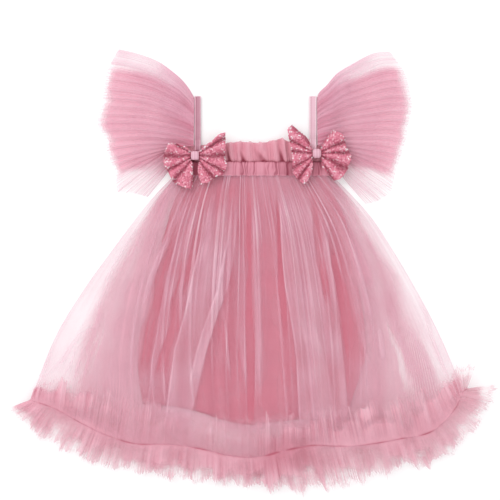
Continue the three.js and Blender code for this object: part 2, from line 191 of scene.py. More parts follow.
# Columns and rows are shares of the piece, place gives its flat shape, height lifts it in millimetres
def clothSheet(name, columns, rows, place, height, thread=None, tone=None):
    across, down = np.meshgrid(columns, rows)
    flat = place(across, down)
    z = height(across, down)
    points = np.dstack([(flat - patternMiddle), z]) * mm
    width, depth = len(columns), len(rows)
    index = np.arange(width * depth).reshape(depth, width)
    quads = np.stack([index[:-1, :-1], index[:-1, 1:], index[1:, 1:], index[1:, :-1]], -1).reshape(-1, 4)
    sideways, onward = flat[0, 1] - flat[0, 0], flat[1, 0] - flat[0, 0]
    if sideways[0] * onward[1] - sideways[1] * onward[0] < 0:
        quads = quads[:, ::-1]
    alongColumns = np.cumsum(np.r_[0, np.linalg.norm(np.diff(points[depth // 2], axis=0), axis=1)])
    alongRows = np.cumsum(np.r_[0, np.linalg.norm(np.diff(points[:, width // 2], axis=0), axis=1)])
    uvs = np.dstack(np.meshgrid(alongColumns, alongRows)).reshape(-1, 2)
    obj = meshObject(name, points.reshape(-1, 3).tolist(), quads.tolist(), uvs)
    if thread is not None:
        slope = steepness(points)
        addAttribute(obj.data, "thread", np.clip(thread(across, down, slope), 0, 1))
    if tone is not None:
        addAttribute(obj.data, "tone", tone(across, down))
    return obj


def steepness(points):  # how much more cloth lies in the way of a look from above
    dx, dy = np.gradient(points, axis=1), np.gradient(points, axis=0)
    normal = np.cross(dx, dy)
    return np.clip(np.linalg.norm(normal, axis=2) / np.maximum(np.abs(normal[..., 2]), 1e-12), 1, 4)


def applyModifiers(obj):
    graph = bpy.context.evaluated_depsgraph_get()
    mesh = bpy.data.meshes.new_from_object(obj.evaluated_get(graph))
    obj.modifiers.clear()
    obj.data = mesh


def thicken(obj, thickness):
    solidify = obj.modifiers.new("thickness", "SOLIDIFY")
    solidify.thickness = thickness * mm
    solidify.offset = -1
    applyModifiers(obj)


def dressPiece(obj, material, slot, *nodes):
    if material is not None:
        obj.data.materials.clear()
        obj.data.materials.append(material)
    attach(obj, "root")
    if nodes:
        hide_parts(*nodes)


# Materials

def srgb(red, green, blue):
    def linear(value):
        value /= 255
        return value / 12.92 if value <= 0.04045 else ((value + 0.055) / 1.055) ** 2.4
    return (linear(red), linear(green), linear(blue), 1)


def newMaterial(name):
    material = bpy.data.materials.new(name)
    material.use_nodes = True
    return material, material.node_tree, material.node_tree.nodes["Principled BSDF"]


def addNode(tree, kind, settings=None, inputs=None):
    node = tree.nodes.new(kind)
    for key, value in (settings or {}).items():
        setattr(node, key, value)
    for key, value in (inputs or {}).items():
        if hasattr(value, "is_linked"):
            tree.links.new(value, node.inputs[key])
        else:
            node.inputs[key].default_value = value
    return node


def mathNode(tree, operation, *values, clamp=False):
    settings = {"operation": operation, "use_clamp": clamp}
    return addNode(tree, "ShaderNodeMath", settings, dict(enumerate(values))).outputs[0]


def attributeValue(tree, name):
    return addNode(tree, "ShaderNodeAttribute", {"attribute_name": name}).outputs["Fac"]


def clothCoordinates(tree):
    return addNode(tree, "ShaderNodeUVMap", {"uv_map": "cloth"}).outputs["UV"]


# The tone picks between a painted shade, the middle colour and a painted light; the noise adds uneven colour
# patches
def shadedColour(tree, colours, tone, patches):  # from a tone of -1 to 1, with slow uneven patches
    dark, middle, light = (srgb(*colour) for colour in colours)
    noise = addNode(tree, "ShaderNodeTexNoise", None,
                    {"Vector": clothCoordinates(tree), "Scale": patches, "Detail": 3.0})
    drift = mathNode(tree, "MULTIPLY_ADD", noise.outputs["Fac"], 0.5, -0.25)
    share = mathNode(tree, "MULTIPLY_ADD", mathNode(tree, "ADD", tone, drift), 0.5, 0.5, clamp=True)
    return colourRamp(tree, share, {0: dark, 0.5: middle, 1: light})


def colourRamp(tree, share, colours):
    node = addNode(tree, "ShaderNodeValToRGB", None, {"Fac": share})
    stops = node.color_ramp.elements
    stops[0].color, stops[1].color = colours[0], colours[1]
    for place, colour in colours.items():
        if 0 < place < 1:
            stops.new(place).color = colour
    return node.outputs["Color"]


tulleLook = {
    "cell": 1.1,         # width of a net hole, mm
    "threadWidth": 0.16,  # as a share of a hole
    "uneven": 0.25,      # how unevenly the holes are shaped
    "netShare": 0.3,     # how strongly the net itself shows
    "patches": 30,       # uneven patches to a metre
    "roughness": 0.85,
    "specular": 0.2,
    "sheen": 0.15,
}


def tulleMaterial(name, *colours):
    look = tulleLook
    material, tree, surface = newMaterial(name)
    net = addNode(tree, "ShaderNodeTexVoronoi", {"feature": "DISTANCE_TO_EDGE"},
                  {"Vector": clothCoordinates(tree), "Scale": 1 / (look["cell"] * mm),
                   "Randomness": look["uneven"]})
    threads = mathNode(tree, "LESS_THAN", net.outputs["Distance"], look["threadWidth"])
    netting = mathNode(tree, "MULTIPLY_ADD", threads, 2 * look["netShare"], 1 - look["netShare"])
    cover = mathNode(tree, "MULTIPLY", attributeValue(tree, "thread"), netting, clamp=True)
    colour = shadedColour(tree, colours, attributeValue(tree, "tone"), look["patches"])
    tree.links.new(cover, surface.inputs["Alpha"])
    tree.links.new(colour, surface.inputs["Base Color"])
    surface.inputs["Roughness"].default_value = look["roughness"]
    surface.inputs["Specular IOR Level"].default_value = look["specular"]
    surface.inputs["Sheen Weight"].default_value = look["sheen"]
    return material


wovenLook = {
    "patches": 45,       # uneven patches to a metre
    "distortion": 0.6,   # of the threads
    "relief": 0.1,       # height of the weave, mm
    "strength": 0.25,
}


def wovenMaterial(name, colours, roughness, weave=0.4, sheen=0.1, specular=0.35):
    look = wovenLook
    material, tree, surface = newMaterial(name)
    colour = shadedColour(tree, colours, attributeValue(tree, "tone"), look["patches"])
    tree.links.new(colour, surface.inputs["Base Color"])
    wavesToMetre = 0.55 / (weave * mm)
    checks = [addNode(tree, "ShaderNodeTexWave", {"bands_direction": direction},
                      {"Vector": clothCoordinates(tree), "Scale": wavesToMetre,
                       "Distortion": look["distortion"]})
              for direction in ("X", "Y")]
    relief = mathNode(tree, "MULTIPLY", *[check.outputs["Fac"] for check in checks])
    raised = addNode(tree, "ShaderNodeBump", None,
                     {"Height": relief, "Strength": look["strength"], "Distance": look["relief"] * mm})
    tree.links.new(raised.outputs["Normal"], surface.inputs["Normal"])
    rough = mathNode(tree, "MULTIPLY_ADD", relief, 0.15, roughness - 0.05)
    tree.links.new(rough, surface.inputs["Roughness"])
    surface.inputs["Sheen Weight"].default_value = sheen
    surface.inputs["Specular IOR Level"].default_value = specular
    return material


def sequinMaterial():
    material, tree, surface = newMaterial("sequinDisc")
    # The sequins' colours run from their own pink up through painted reflections to painted white glints
    glints = colourRamp(tree, attributeValue(tree, "glint"), {
        0: srgb(178, 72, 100), 0.2: srgb(216, 110, 136), 0.6: srgb(236, 142, 164), 0.94: srgb(246, 184, 201),
        1: srgb(255, 246, 250)})
    # The tone mixes in a painted shade of dark red in the bows' creases
    lit = mathNode(tree, "MULTIPLY_ADD", attributeValue(tree, "tone"), 0.55, 0.88, clamp=True)
    shaded = addNode(tree, "ShaderNodeMix", {"data_type": "RGBA", "blend_type": "MIX"},
                     {0: lit, 6: srgb(140, 36, 64), 7: glints})
    tree.links.new(shaded.outputs[2], surface.inputs["Base Color"])
    surface.inputs["Metallic"].default_value = 0.1
    surface.inputs["Roughness"].default_value = 0.3
    surface.inputs["Coat Weight"].default_value = 0.5
    return material


def threadMaterial():
    material, tree, surface = newMaterial("sewingThread")
    coordinates = addNode(tree, "ShaderNodeTexCoord").outputs["Object"]
    twist = addNode(tree, "ShaderNodeTexWave", {"bands_direction": "DIAGONAL"},
                    {"Vector": coordinates, "Scale": 900.0})
    colour = colourRamp(tree, twist.outputs["Fac"], {0: srgb(150, 72, 92), 1: srgb(190, 112, 132)})
    tree.links.new(colour, surface.inputs["Base Color"])
    surface.inputs["Roughness"].default_value = 0.6
    return material


# Each cloth's dark and light colours are painted shade and painted light of its middle colour
materials = {  # each cloth's colours are for its dark, middle and light tones
    "sheer": tulleMaterial("sheerTulle", (206, 122, 145), (233, 178, 197), (248, 214, 226)),
    "dense": tulleMaterial("denseTulle", (206, 130, 149), (232, 174, 190), (244, 205, 216)),
    "sleeve": tulleMaterial("sleeveTulle", (220, 146, 166), (246, 186, 203), (250, 206, 219)),
    "frill": tulleMaterial("frillTulle", (150, 58, 78), (228, 154, 170), (242, 184, 198)),
    "ruffle": tulleMaterial("ruffleTulle", (190, 94, 114), (233, 174, 189), (246, 208, 218)),
    "lining": wovenMaterial("liningCloth", [(188, 90, 110), (204, 104, 124), (220, 130, 148)], 0.7),
    "elastic": wovenMaterial("gatheredElastic", [(150, 66, 86), (214, 138, 156), (236, 176, 192)], 0.8),
    "satin": wovenMaterial("satinRibbon", [(176, 112, 132), (228, 178, 194), (248, 222, 230)], 0.32,
                           weave=0.25, sheen=0.0, specular=0.6),
    "sequinBase": wovenMaterial("sequinCloth", [(134, 38, 62), (200, 94, 121), (228, 136, 158)], 0.5),
    "sequin": sequinMaterial(),
    "thread": threadMaterial(),
}
print("materials made")


# The skirt's shape: the hem's stations, its side edges, and how its layers lie on each other

hemStations = np.array([
    # seam x, y, upper wing's edge x, y, lower wing's edge x, y
    [-276, -165, -271, -150, -300, -174],
    [-246, -175, -241, -140, -266, -207],
    [-211, -194, -204, -145, -229, -227],
    [-179, -209, -170, -160, -189, -244],
    [-145, -219, -139, -167, -151, -251],
    [-106, -220, -101, -176, -111, -259],
    [-65, -225, -64, -184, -67, -264],
    [-29, -234, -29, -189, -29, -268],
    [7, -236, 7, -191, 9, -272],
    [40, -228, 40, -188, 49, -275],
    [77, -221, 74, -182, 92, -272],
    [107, -222, 100, -178, 120, -269],
    [137, -221, 126, -174, 146, -262],
    [186, -213, 174, -164, 196, -246],
    [225, -204, 211, -155, 242, -234],
    [255, -175, 240, -145, 281, -196],
    [265, -154, 260, -126, 299, -160],
    [270, -151, 279, -124, 303, -146],
])
hemSeam = smoothLine(hemStations[:, 0:2], byPoint=True)
upperEdge = smoothLine(hemStations[:, 2:4], byPoint=True)
lowerEdge = smoothLine(hemStations[:, 4:6], byPoint=True)
bandLeft, bandRight, skirtTop = -96, 101, 116

skirtShape = patch(
    near=straightLine([(bandLeft, skirtTop), (bandRight, skirtTop)]),
    far=hemSeam,
    start=smoothLine([(bandLeft, skirtTop), (-120, 91), (-144, 62), (-174, 22), (-210, -28), (-245, -86),
                      (-276, -165)]),
    end=smoothLine([(bandRight, skirtTop), (126, 91), (150, 64), (179, 20), (209, -31), (239, -90),
                    (265, -154)]),
)
innerMark, liningMark = 0.03, 0.12
liningEnd = ramp((0.1, 0.862), (0.5, 0.893), (0.65, 0.905), (0.9, 0.93))
layerStep, innerRise, foldRise, hemLift = 1.3, 1.0, 5.0, 3.9
outerHeight = 5 * layerStep + innerRise
innerInset, liningInset = ramp((0, 0.016), (1, 0.07)), ramp((0, 0.038), (1, 0.215))


def skirtPlace(column, down):
    inner, lining = innerInset(down), liningInset(down)
    marks = [0, innerMark, liningMark, 1 - liningMark, 1 - innerMark, 1]
    values = [0 * down, inner, lining, 1 - lining, 1 - inner, 0 * down + 1]
    across = np.zeros_like(column)
    for k in range(5):
        inside = (column >= marks[k]) & (column <= marks[k + 1])
        share = (column - marks[k]) / (marks[k + 1] - marks[k])
        across = np.where(inside, values[k] + (values[k + 1] - values[k]) * share, across)
    return skirtShape(across, down)


liftAt = ramp((0, 0), (0.88, 0), (0.93, hemLift), (1, hemLift))
innerFrontRise = sided((innerMark, 2 * layerStep), (liningMark, 4 * layerStep))
outerFrontRise = sided((0, layerStep), (innerMark, 3 * layerStep), (liningMark, outerHeight))
innerFade = sided((innerMark, 0), (liningMark, 1))
outerDrop = ramp((0, innerRise), (0.22, 0), (1, 0))
foldStrength = ramp((0, 0.25), (0.22, 0.8), (0.6, 1), (0.88, 0.42), (1, 0.4))

# The skirt's main folds: where each starts at the band and ends at the hem, its height as a share of
# the highest, and its half width
mainFolds = np.array([
    [0.035, 0.03, 0.4, 0.02], [0.07, 0.05, 0.5, 0.02], [0.11, 0.07, 0.6, 0.02], [0.16, 0.088, 0.7, 0.02],
    [0.196, 0.12, 0.7, 0.02], [0.235, 0.165, 0.7, 0.022], [0.28, 0.21, 0.8, 0.022], [0.325, 0.25, 0.7, 0.02],
    [0.375, 0.29, 1, 0.028], [0.405, 0.33, 1, 0.025], [0.44, 0.37, 0.7, 0.018], [0.468, 0.41, 0.6, 0.018],
    [0.5, 0.455, 0.6, 0.02], [0.54, 0.513, 0.9, 0.03], [0.59, 0.56, 0.7, 0.022], [0.63, 0.61, 0.7, 0.022],
    [0.67, 0.67, 1, 0.032], [0.715, 0.73, 0.8, 0.025], [0.755, 0.785, 0.8, 0.022], [0.8, 0.835, 0.7, 0.022],
    [0.84, 0.88, 0.8, 0.022], [0.88, 0.915, 0.7, 0.02], [0.92, 0.945, 0.5, 0.02], [0.96, 0.97, 0.4, 0.02],
])


def mainFoldShape(column, down):  # 0 in the valleys to 1 on the ridges, as the cloth pieces of the frame
    highest = np.zeros_like(column)
    for top, hem, height, half in mainFolds:
        away = np.clip(np.abs(column - (top + (hem - top) * down)) / half, 0, 1)
        highest = np.maximum(highest, height * wave(0.5 + away / 2))
    return highest


# Sharp sided little folds that run down the cloth: their height and the cloth that they double
def fineFolds(count, seedStep, widths, column, down, starts=(-0.3, 0.25), stops=(0.55, 1.3)):
    rng = np.random.default_rng(seed + seedStep)
    height, doubled = np.zeros_like(column), np.zeros_like(column)
    for top in (np.arange(count) + rng.uniform(0.1, 0.9, count)) / count:
        hem = 0.5 + (top - 0.5) * rng.uniform(0.9, 1.08) + rng.normal(0, 0.008)
        half = rng.uniform(*widths)
        side = rng.choice([-1, 1])
        begin, finish = rng.uniform(*starts), rng.uniform(*stops)
        strong = rng.uniform(0.3, 1) ** 1.5
        centre = top + (hem - top) * down + 0.002 * np.sin(down * rng.uniform(4, 9) + rng.uniform(0, 6))
        away = (column - centre) * side / half
        lap = np.where(away < 0, smoothStep(-0.3, 0, away), 1 - smoothStep(0, 1, away))
        along = smoothStep(begin, begin + 0.15, down) * (1 - smoothStep(finish - 0.3, finish, down))
        height = np.maximum(height, lap * along * strong)
        doubled += lap * along * strong
    return height, doubled


# The folds that the photo shows in the front: y, left edge, right edge down the fold, how much cloth they
# add or take away, and how softly each side ends. The added folds show more, paler cloth and are painted
# lighter, with painted light along a crisp edge; the taken-away ones are painted darker as shade
laidFolds = [
    ([(85, -56, -29), (35, -63, -31), (-15, -74, -37.5), (-40, -79, -36), (-65, -85, -45), (-102, -95.6, -56),
      (-140, -101, -65), (-198, -108, -80)], 0.26, 1.2, 3),
    ([(85, -24, -16), (35, -29, -20), (-3, -37.5, -25), (-28, -42, -31), (-53, -51, -40), (-78, -60, -49),
      (-103, -67.5, -57), (-140, -76, -66)], 0.2, 1.5, 2),
    ([(92, -79, -72), (60, -87.5, -74), (22, -96, -77), (-9, -105, -82), (-40, -111, -88), (-90, -119, -95),
      (-115, -124, -100), (-185, -130, -106)], 0.15, 1.2, 14),
    ([(78, -91, -85), (48, -104, -98), (22, -114, -108), (-3, -124, -119), (-21, -130, -124)], 0.15, 1.5, 3),
    ([(45, -99, -94), (28, -110, -105), (8, -120, -115), (-15, -129, -124), (-40, -135, -131),
      (-65, -138, -134)],
     0.11, 1.2, 2.5),
    ([(90, -67, -62), (53, -78, -74), (22, -84, -81), (-28, -89, -86), (-78, -90, -88)], 0.16, 1.2, 2),
    ([(95, -101, -93), (22, -109, -101), (-9, -119, -111), (-40, -121, -113), (-71, -130, -122),
      (-102, -134, -127), (-134, -141, -133)], -0.18, 5, 6),
    ([(45, -78, -67), (20, -84, -70), (-9, -88, -79), (-40, -98, -89), (-71, -99, -91), (-102, -111, -102),
      (-134, -120, -108)], -0.18, 4, 6),
    ([(92, -50, -44), (66, -54, -50), (40, -57, -52), (8, -64, -58)], 0.14, 1.2, 3),
    ([(-46, -36.5, -34.5), (-90, -31.5, -29.5), (-140, -27.5, -25.5)], 0.14, 1, 1.5),
    ([(35, -17, -9), (-40, -15, -6), (-78, -13.5, -7), (-102, -11.5, -6), (-128, -7.5, -5), (-148, -5, -4)],
     0.15, 5, 1.2),
    ([(100, -3, 0), (60, -5, 0), (35, -5, -0.5), (0, -2, 0), (-28, -6, 0), (-65, -7, 1.5), (-90, -6, 4),
      (-115, -5, 4), (-140, -4, 4), (-190, -3, 3)], -0.2, 2, 1.2),
    ([(100, 3.5, 8), (0, 3, 9), (-90, 6, 11), (-168, 5, 10)], 0.13, 1, 6),
    ([(104, 32, 60), (66, 36, 72), (35, 37.5, 77), (4, 40, 80), (-21, 42.5, 84), (-40, 46, 88), (-65, 50, 92),
      (-90, 54, 98), (-115, 57, 104), (-140, 58, 110), (-200, 61, 120)], 0.27, 1, 14),
    ([(-60, 62, 74), (-100, 70, 86), (-140, 74, 96), (-200, 79, 108)], 0.16, 3, 5),
    ([(95, 31, 34.5), (66, 33, 36), (35, 34, 37), (4, 34, 39), (-28, 35, 42), (-53, 38, 44), (-78, 40, 45)],
     -0.22, 1.5, 1),
    ([(92, 75, 79), (66, 77, 82), (41, 79, 86), (10, 82, 90), (-15, 88, 95), (-40, 92, 97)], -0.18, 1.5, 3),
    ([(62, 84, 95), (29, 92, 97), (4, 97, 100), (-21, 102, 105), (-53, 107, 109), (-84, 110, 112),
      (-103, 112, 114), (-128, 115, 117), (-185, 119, 121)], 0.16, 9, 1),
    ([(15, 98, 103), (-9, 105, 110), (-40, 111, 121), (-65, 114, 128), (-90, 117, 134), (-120, 122, 141)],
     -0.15, 2, 6),
    ([(66, 111, 116), (22, 126, 134), (-9, 136, 146), (-60, 150, 160), (-110, 160, 170)], 0.1, 5, 9),
    ([(-70, 158, 161), (-102, 161, 165), (-121, 164, 168)], 0.16, 1.5, 4),
    ([(-71, 170, 173), (-92, 176, 180), (-105, 183, 187), (-128, 186, 192), (-158, 196, 206)], -0.24, 1.5, 3),
    ([(-30, 165, 170), (-80, 176, 182), (-120, 196, 204), (-150, 212, 222)], 0.1, 3, 8),
    ([(70, -126, -122), (32, -158, -153), (-15, -182, -177), (-40, -190, -186), (-77, -214, -210),
      (-115, -238, -234), (-137, -260, -256)], 0.08, 2, 3),
    ([(-40, -190, -187), (-72, -195, -190), (-82, -215, -204), (-96, -226, -222), (-118, -238, -234)],
     0.16, 1.5, 2.5),
    ([(-80, -200, -198), (-100, -219, -217), (-140, -236, -234)], 0.1, 1, 1.5),
    ([(-78, -193, -191), (-105, -212, -210), (-140, -224, -222)], 0.1, 1, 1.5),
    ([(-84, -188, -186), (-110, -203, -201), (-143, -212, -210)], 0.1, 1, 1.5),
    ([(-92, -186, -184), (-118, -196, -194), (-143, -205, -203)], 0.08, 1, 1.5),
    ([(-80, -191, -185), (-112, -205, -194), (-140, -218, -202)], -0.08, 4, 4),
    ([(-27, 201, 204), (-59, 217, 221), (-90, 225, 229), (-134, 242, 246), (-147, 252, 255)], 0.14, 1.5, 2),
    ([(-78, 198, 203), (-115, 217, 224), (-152, 230, 238)], 0.1, 2, 2),
    ([(-84, 211, 217), (-115, 226, 233), (-147, 240, 250)], -0.1, 2, 2),
]
denseEdges = [  # where the inner tulle gets denser: y, left x, right x, for its two steps
    [(-159, -235, 231), (-134, -232, 225), (-102, -219, 213), (-71, -205, 200), (-40, -186, 188),
     (-9, -172, 181), (22, -154, 159), (54, -137, 136), (85, -124, 126)],
    [(-159, -189, 166), (-134, -187, 164), (-102, -181, 154), (-71, -172, 151), (-40, -161, 151),
     (-9, -149, 149), (22, -136, 136), (54, -126, 119), (85, -116, 114)],
]
skirtLayers = {
    "outerThread": 0.09,   # how much of the light one outer layer stops
    "innerThread": 0.52,
    "overLining": 0.5,     # the share of that where the lining is behind it
    "outerFolds": 84,
    "innerFolds": 60,
    "foldThread": 0.34,    # what a small doubled fold adds to that
    "laidThread": 1.5,     # how much more the laid folds show
    "outerWidths": (0.003, 0.011),  # the least and the most of a fine fold, as a share of the way across
    "innerWidths": (0.006, 0.02),
    "sideThread": 0.16,    # what the turned side edges add
    "hemThread": 0.05,     # and the sides near the hem
    "bare": 0.45,          # how much of the inner tulle is missing in the gap below the lining
    "fineRise": 0.9,       # height of the small folds, mm
    "gatherRise": 1.6,     # height of the gathers under the band, mm
    "laidRise": 1.6,       # height of the laid folds, mm
    "liningThickness": 0.3,
}
liningPull = {  # how far the lining's sides are drawn in, down from the band, as a share of the width
    "left": ramp((0, 0), (0.12, 0.04), (0.25, 0.052), (0.5, 0.058), (0.8, 0.045), (1, 0.06)),
    "right": ramp((0, 0), (0.12, 0.04), (0.25, 0.06), (0.5, 0.085), (0.75, 0.09), (1, 0.14)),
}


def bandGathers(column, down):  # the gathers that start at the band and fade out down the skirt
    return fineFolds(64, 5, (0.005, 0.013), column, down, (-0.4, -0.2), (0.25, 0.9))


def laidCover(x, y):
    return sum(share * laidFold(x, y, line, *softSides) for line, share, *softSides in laidFolds)


def denseShare(x, y):
    share, width, step = 0, 7 + 7 * smoothStep(20, -120, y), 1 / len(denseEdges)
    for rows in denseEdges:
        heights, left, right = np.array(rows, float).T
        left, right = np.interp(y, heights, left), np.interp(y, heights, right)
        share = share + step * between(left - width, left + width, right - width, right + width, x)
    return share


def makeSkirt():
    look = skirtLayers
    innerColumns = np.linspace(innerMark, 1 - innerMark, 460)
    backRows = shares(40)
    gather = ramp((0, 1.0), (0.06, 0.35), (0.25, 0), (1, 0))
    crispness = ramp((0, 1.2), (0.25, 0.8), (0.6, 0.55), (1, 0.5))
    gatherCover = ramp((0, 0.8), (0.2, 0.65), (0.7, 0.2), (1, 0))
    gatherHeight = ramp((0, 0.8), (0.15, 1), (1, 0.6))
    fineHeight = ramp((0, 0.4), (0.2, 1), (0.85, 1), (1, 0.3))
    bareColumns = ramp((0.2, 0), (0.36, 1), (0.5, 0.5), (0.6, 0))  # where less shows below the lining

    def flatSpots(column, down):
        return np.moveaxis(skirtPlace(column, down), -1, 0)

    def outerFolds(column, down, seedStep=1):
        return fineFolds(look["outerFolds"], seedStep, look["outerWidths"], column, down)

    def outerFrontHeight(column, down):
        laid = np.clip(4 * laidCover(*flatSpots(column, down)), -0.6, 1.5)
        return (outerFrontRise(column) - outerDrop(down) * innerFade(column) + liftAt(down) + 0.5
                + 0.5 * foldRise * foldStrength(down) * mainFoldShape(column, down)
                + look["laidRise"] * foldStrength(down) * laid
                + look["gatherRise"] * bandGathers(column, down)[0] * gatherHeight(down)
                + look["fineRise"] * outerFolds(column, down)[0] * fineHeight(down))

    def outerThread(seedStep, laid):
        def thread(column, down, slope):
            x, y = flatSpots(column, down)
            doubled = outerFolds(column, down, seedStep)[1]
            inside = denseShare(x, y)
            crisp = crispness(down) * (0.35 + 0.65 * inside)
            gathered = bandGathers(column, down)[1] * gatherCover(down)
            cover = look["outerThread"] * (1 + gather(down)) * slope ** 0.5
            cover = cover + look["foldThread"] * (crisp * doubled + gathered * (0.3 + 0.7 * inside))
            if laid:
                side = bump(np.minimum(column, 1 - column), 0, 0.006)
                drawn = smoothStep(0.62, 0.9, down) * (1 - inside)
                cover = cover + look["laidThread"] * laidCover(x, y) * (0.75 + 0.25 * inside)
                cover = cover + look["sideThread"] * side + look["hemThread"] * drawn
            return np.clip(cover * (1 + 0.25 * cloud(x, y, 60, seedStep + 40)), 0.03, 0.8)
        return thread

    def innerThread(seedStep):
        def thread(column, down, slope):
            x, y = flatSpots(column, down)
            doubled = fineFolds(look["innerFolds"], seedStep, look["innerWidths"], column, down)[1]
            cover = look["innerThread"] * slope ** 0.5 + look["foldThread"] * 0.4 * doubled
            sideStart, sideEnd = innerMark - 0.002, innerMark + 0.035
            soft = smoothStep(sideStart, sideEnd, column) * smoothStep(sideStart, sideEnd, 1 - column)
            lined = (smoothStep(liningMark, liningMark + 0.07, column - liningPull["left"](down))
                     * smoothStep(liningMark, liningMark + 0.06, 1 - column - liningPull["right"](down))
                     * (down < liningEnd(column)))
            lined = lined * (1 - 0.6 * smoothStep(0.42, 0.58, column) * (1 - smoothStep(0.1, 0.45, down)))
            cover = cover * (1 - (1 - look["overLining"]) * lined)
            cover = cover * (1 + np.clip(3 * laidCover(x, y), -0.85, 0.2))
            bare = smoothStep(0, 0.03, down - liningEnd(column)) * bareColumns(column)
            return (soft * cover * (0.16 + 0.84 * denseShare(x, y)) * (1 - look["bare"] * bare)
                    * (1 + 0.2 * cloud(x, y, 45, seedStep + 50)))
        return thread

    def outerTone(column, down):
        # Painted shade and light on the outer tulle: the laid folds lighter, with painted light along their
        # crisp edges, and darker as painted shade where they take cloth away; the main folds' ridges painted
        # lighter, the doubled fine folds paler, the gathers striped light and dark, and a painted shade just
        # under the band
        laid = np.clip(1.7 * laidCover(*flatSpots(column, down)), -0.9, 0.36)
        gathered = (0.9 * bandGathers(column, down)[1] - 0.22) * (1 - smoothStep(0.1, 0.6, down))
        return (laid + 0.2 * mainFoldShape(column, down) - 0.1 + 0.2 * outerFolds(column, down)[1] + gathered
                - 0.1 * (1 - smoothStep(0, 0.04, down)))

    def innerTone(column, down):
        return 0.25 * np.sin(column * 60 + 3 * np.sin(column * 23)) * (1 - 0.5 * down)

    def liningPlace(column, down):
        share = (column - liningMark) / (1 - 2 * liningMark)
        pulled = (1 - share) * liningPull["left"](down) - share * liningPull["right"](down)
        return skirtPlace(column + pulled, down * liningEnd(column))

    def liningTone(column, down):
        return (0.3 * np.sin(column * 48 + 4 * np.sin(column * 17) + down) - 0.3 * smoothStep(0.985, 1, down)
                - 0.3 * bump(column, liningMark, 0.012))

    def innerFrontHeight(column, down):
        return (innerFrontRise(column) + liftAt(down) + 0.5
                + 0.8 * innerRise * innerFade(column) * innerStrength(down) * wave(8 * column))

    def makeLining(name, height):
        creased = lambda column, down: height + 0.12 * np.sin(column * 75 + 2 * np.sin(down * 5)) * down
        lining = clothSheet(name, np.linspace(liningMark, 1 - liningMark, 200), shares(64) ** 0.9,
                            liningPlace, creased, None, liningTone)
        thicken(lining, look["liningThickness"])
        return lining

    innerStrength = ramp((0, 0), (0.22, 1), (0.88, 1), (0.93, 0))
    outerFront = clothSheet("tulleOuterFront", shares(640), shares(150), skirtPlace, outerFrontHeight,
                            outerThread(1, True), outerTone)
    innerFront = clothSheet("tulleInnerFront", innerColumns, backRows, skirtPlace, innerFrontHeight,
                            innerThread(2), innerTone)
    innerBack = clothSheet("tulleInnerBack", np.linspace(innerMark, 1 - innerMark, 300), backRows, skirtPlace,
                           lambda column, down: layerStep + 0.5 + liftAt(down), innerThread(3), innerTone)
    outerBack = clothSheet("tulleOuterBack", shares(320), backRows, skirtPlace,
                           lambda column, down: 0.3 + liftAt(down), outerThread(4, False), innerTone)
    liningFront = makeLining("liningFront", 3 * layerStep + 0.65)
    liningBack = makeLining("liningBack", 2 * layerStep + 0.65)

    dressPiece(outerFront, materials["sheer"], "tulle_sheer", "skirt_outer_front")
    dressPiece(innerFront, materials["dense"], "tulle_dense", "skirt_inner_front")
    dressPiece(innerBack, materials["dense"], "tulle_dense", "skirt_inner_back")
    dressPiece(outerBack, materials["sheer"], "tulle_sheer", "skirt_outer_back")
    dressPiece(liningFront, materials["lining"], "lining", "skirt_lining_front")
    dressPiece(liningBack, materials["lining"], "lining", "skirt_lining_back")
    print("skirt: four tulle layers and the lining")


makeSkirt()


# The hem ruffle: one gathered strip for the front and one for the back, sewn on along its middle

ruffleLook = {
    "frontWaves": 40,
    "backWaves": 16,
    "backRise": 2.5,
    "waveShare": 0.5,      # how much of the cloth pieces' full wave height shows
    "smallWaves": 118,     # fine gathers between the main waves
    "smallRise": 0.6,      # mm
    "thread": 0.76,
    "edgeThread": 0.1,     # what is left of that at the raw edges
    "frayed": 0.045,       # how unevenly the raw edges end, as a share of the wing
    "cornerPlace": 0.79,   # where a corner of the back ruffle hangs below the front one
    "cornerWidth": 0.018,
    "cornerDrop": 0.22,    # as a share of the wing
    # how dense its two wings are along it, and how much darker it is along the seam
    "upperShare": ramp((0, 1.1), (0.15, 0.72), (0.3, 0.42), (0.42, 0.24), (0.48, 0.45), (0.53, 0.85),
                       (0.6, 0.7), (0.68, 1), (0.8, 1), (0.9, 0.95), (0.97, 0.6), (1, 0.5)),
    "lowerShare": ramp((0, 0.9), (0.12, 0.6), (0.24, 0.8), (0.32, 0.95), (0.5, 1.15), (0.57, 1.0),
                       (0.61, 0.6), (0.7, 0.65), (0.76, 0.85), (0.85, 0.6), (1, 0.5)),
    "middleTone": ramp((0.45, 0), (0.5, -0.45), (0.57, -0.45), (0.6, 0)),
}
overSkirt = hemLift + foldRise * 0.42 + 1.3 + 0.3
seamHeight = sided((0, layerStep + overSkirt), (0.07, 3 * layerStep + overSkirt),
                   (0.215, outerHeight + overSkirt))
ruffleLift = softRamp((0, 4.3), (0.25, 8), (0.5, 0), (0.75, 0.6), (1, 0))
ruffleShare = softRamp((0, 0), (0.25, 0.35), (0.5, 1), (0.75, 1), (1, 1))
ruffleWave = softRamp((0, 9), (0.25, 8), (0.5, 1.4), (0.75, 6.5), (1, 9))
endPuff = ramp((0, 0.7), (0.06, 1), (0.9, 1), (1, 1.4))


def unevenTurns(across, waves):
    return waves * across + 0.35 * np.sin(across * 41) + 0.2 * np.sin(across * 97)


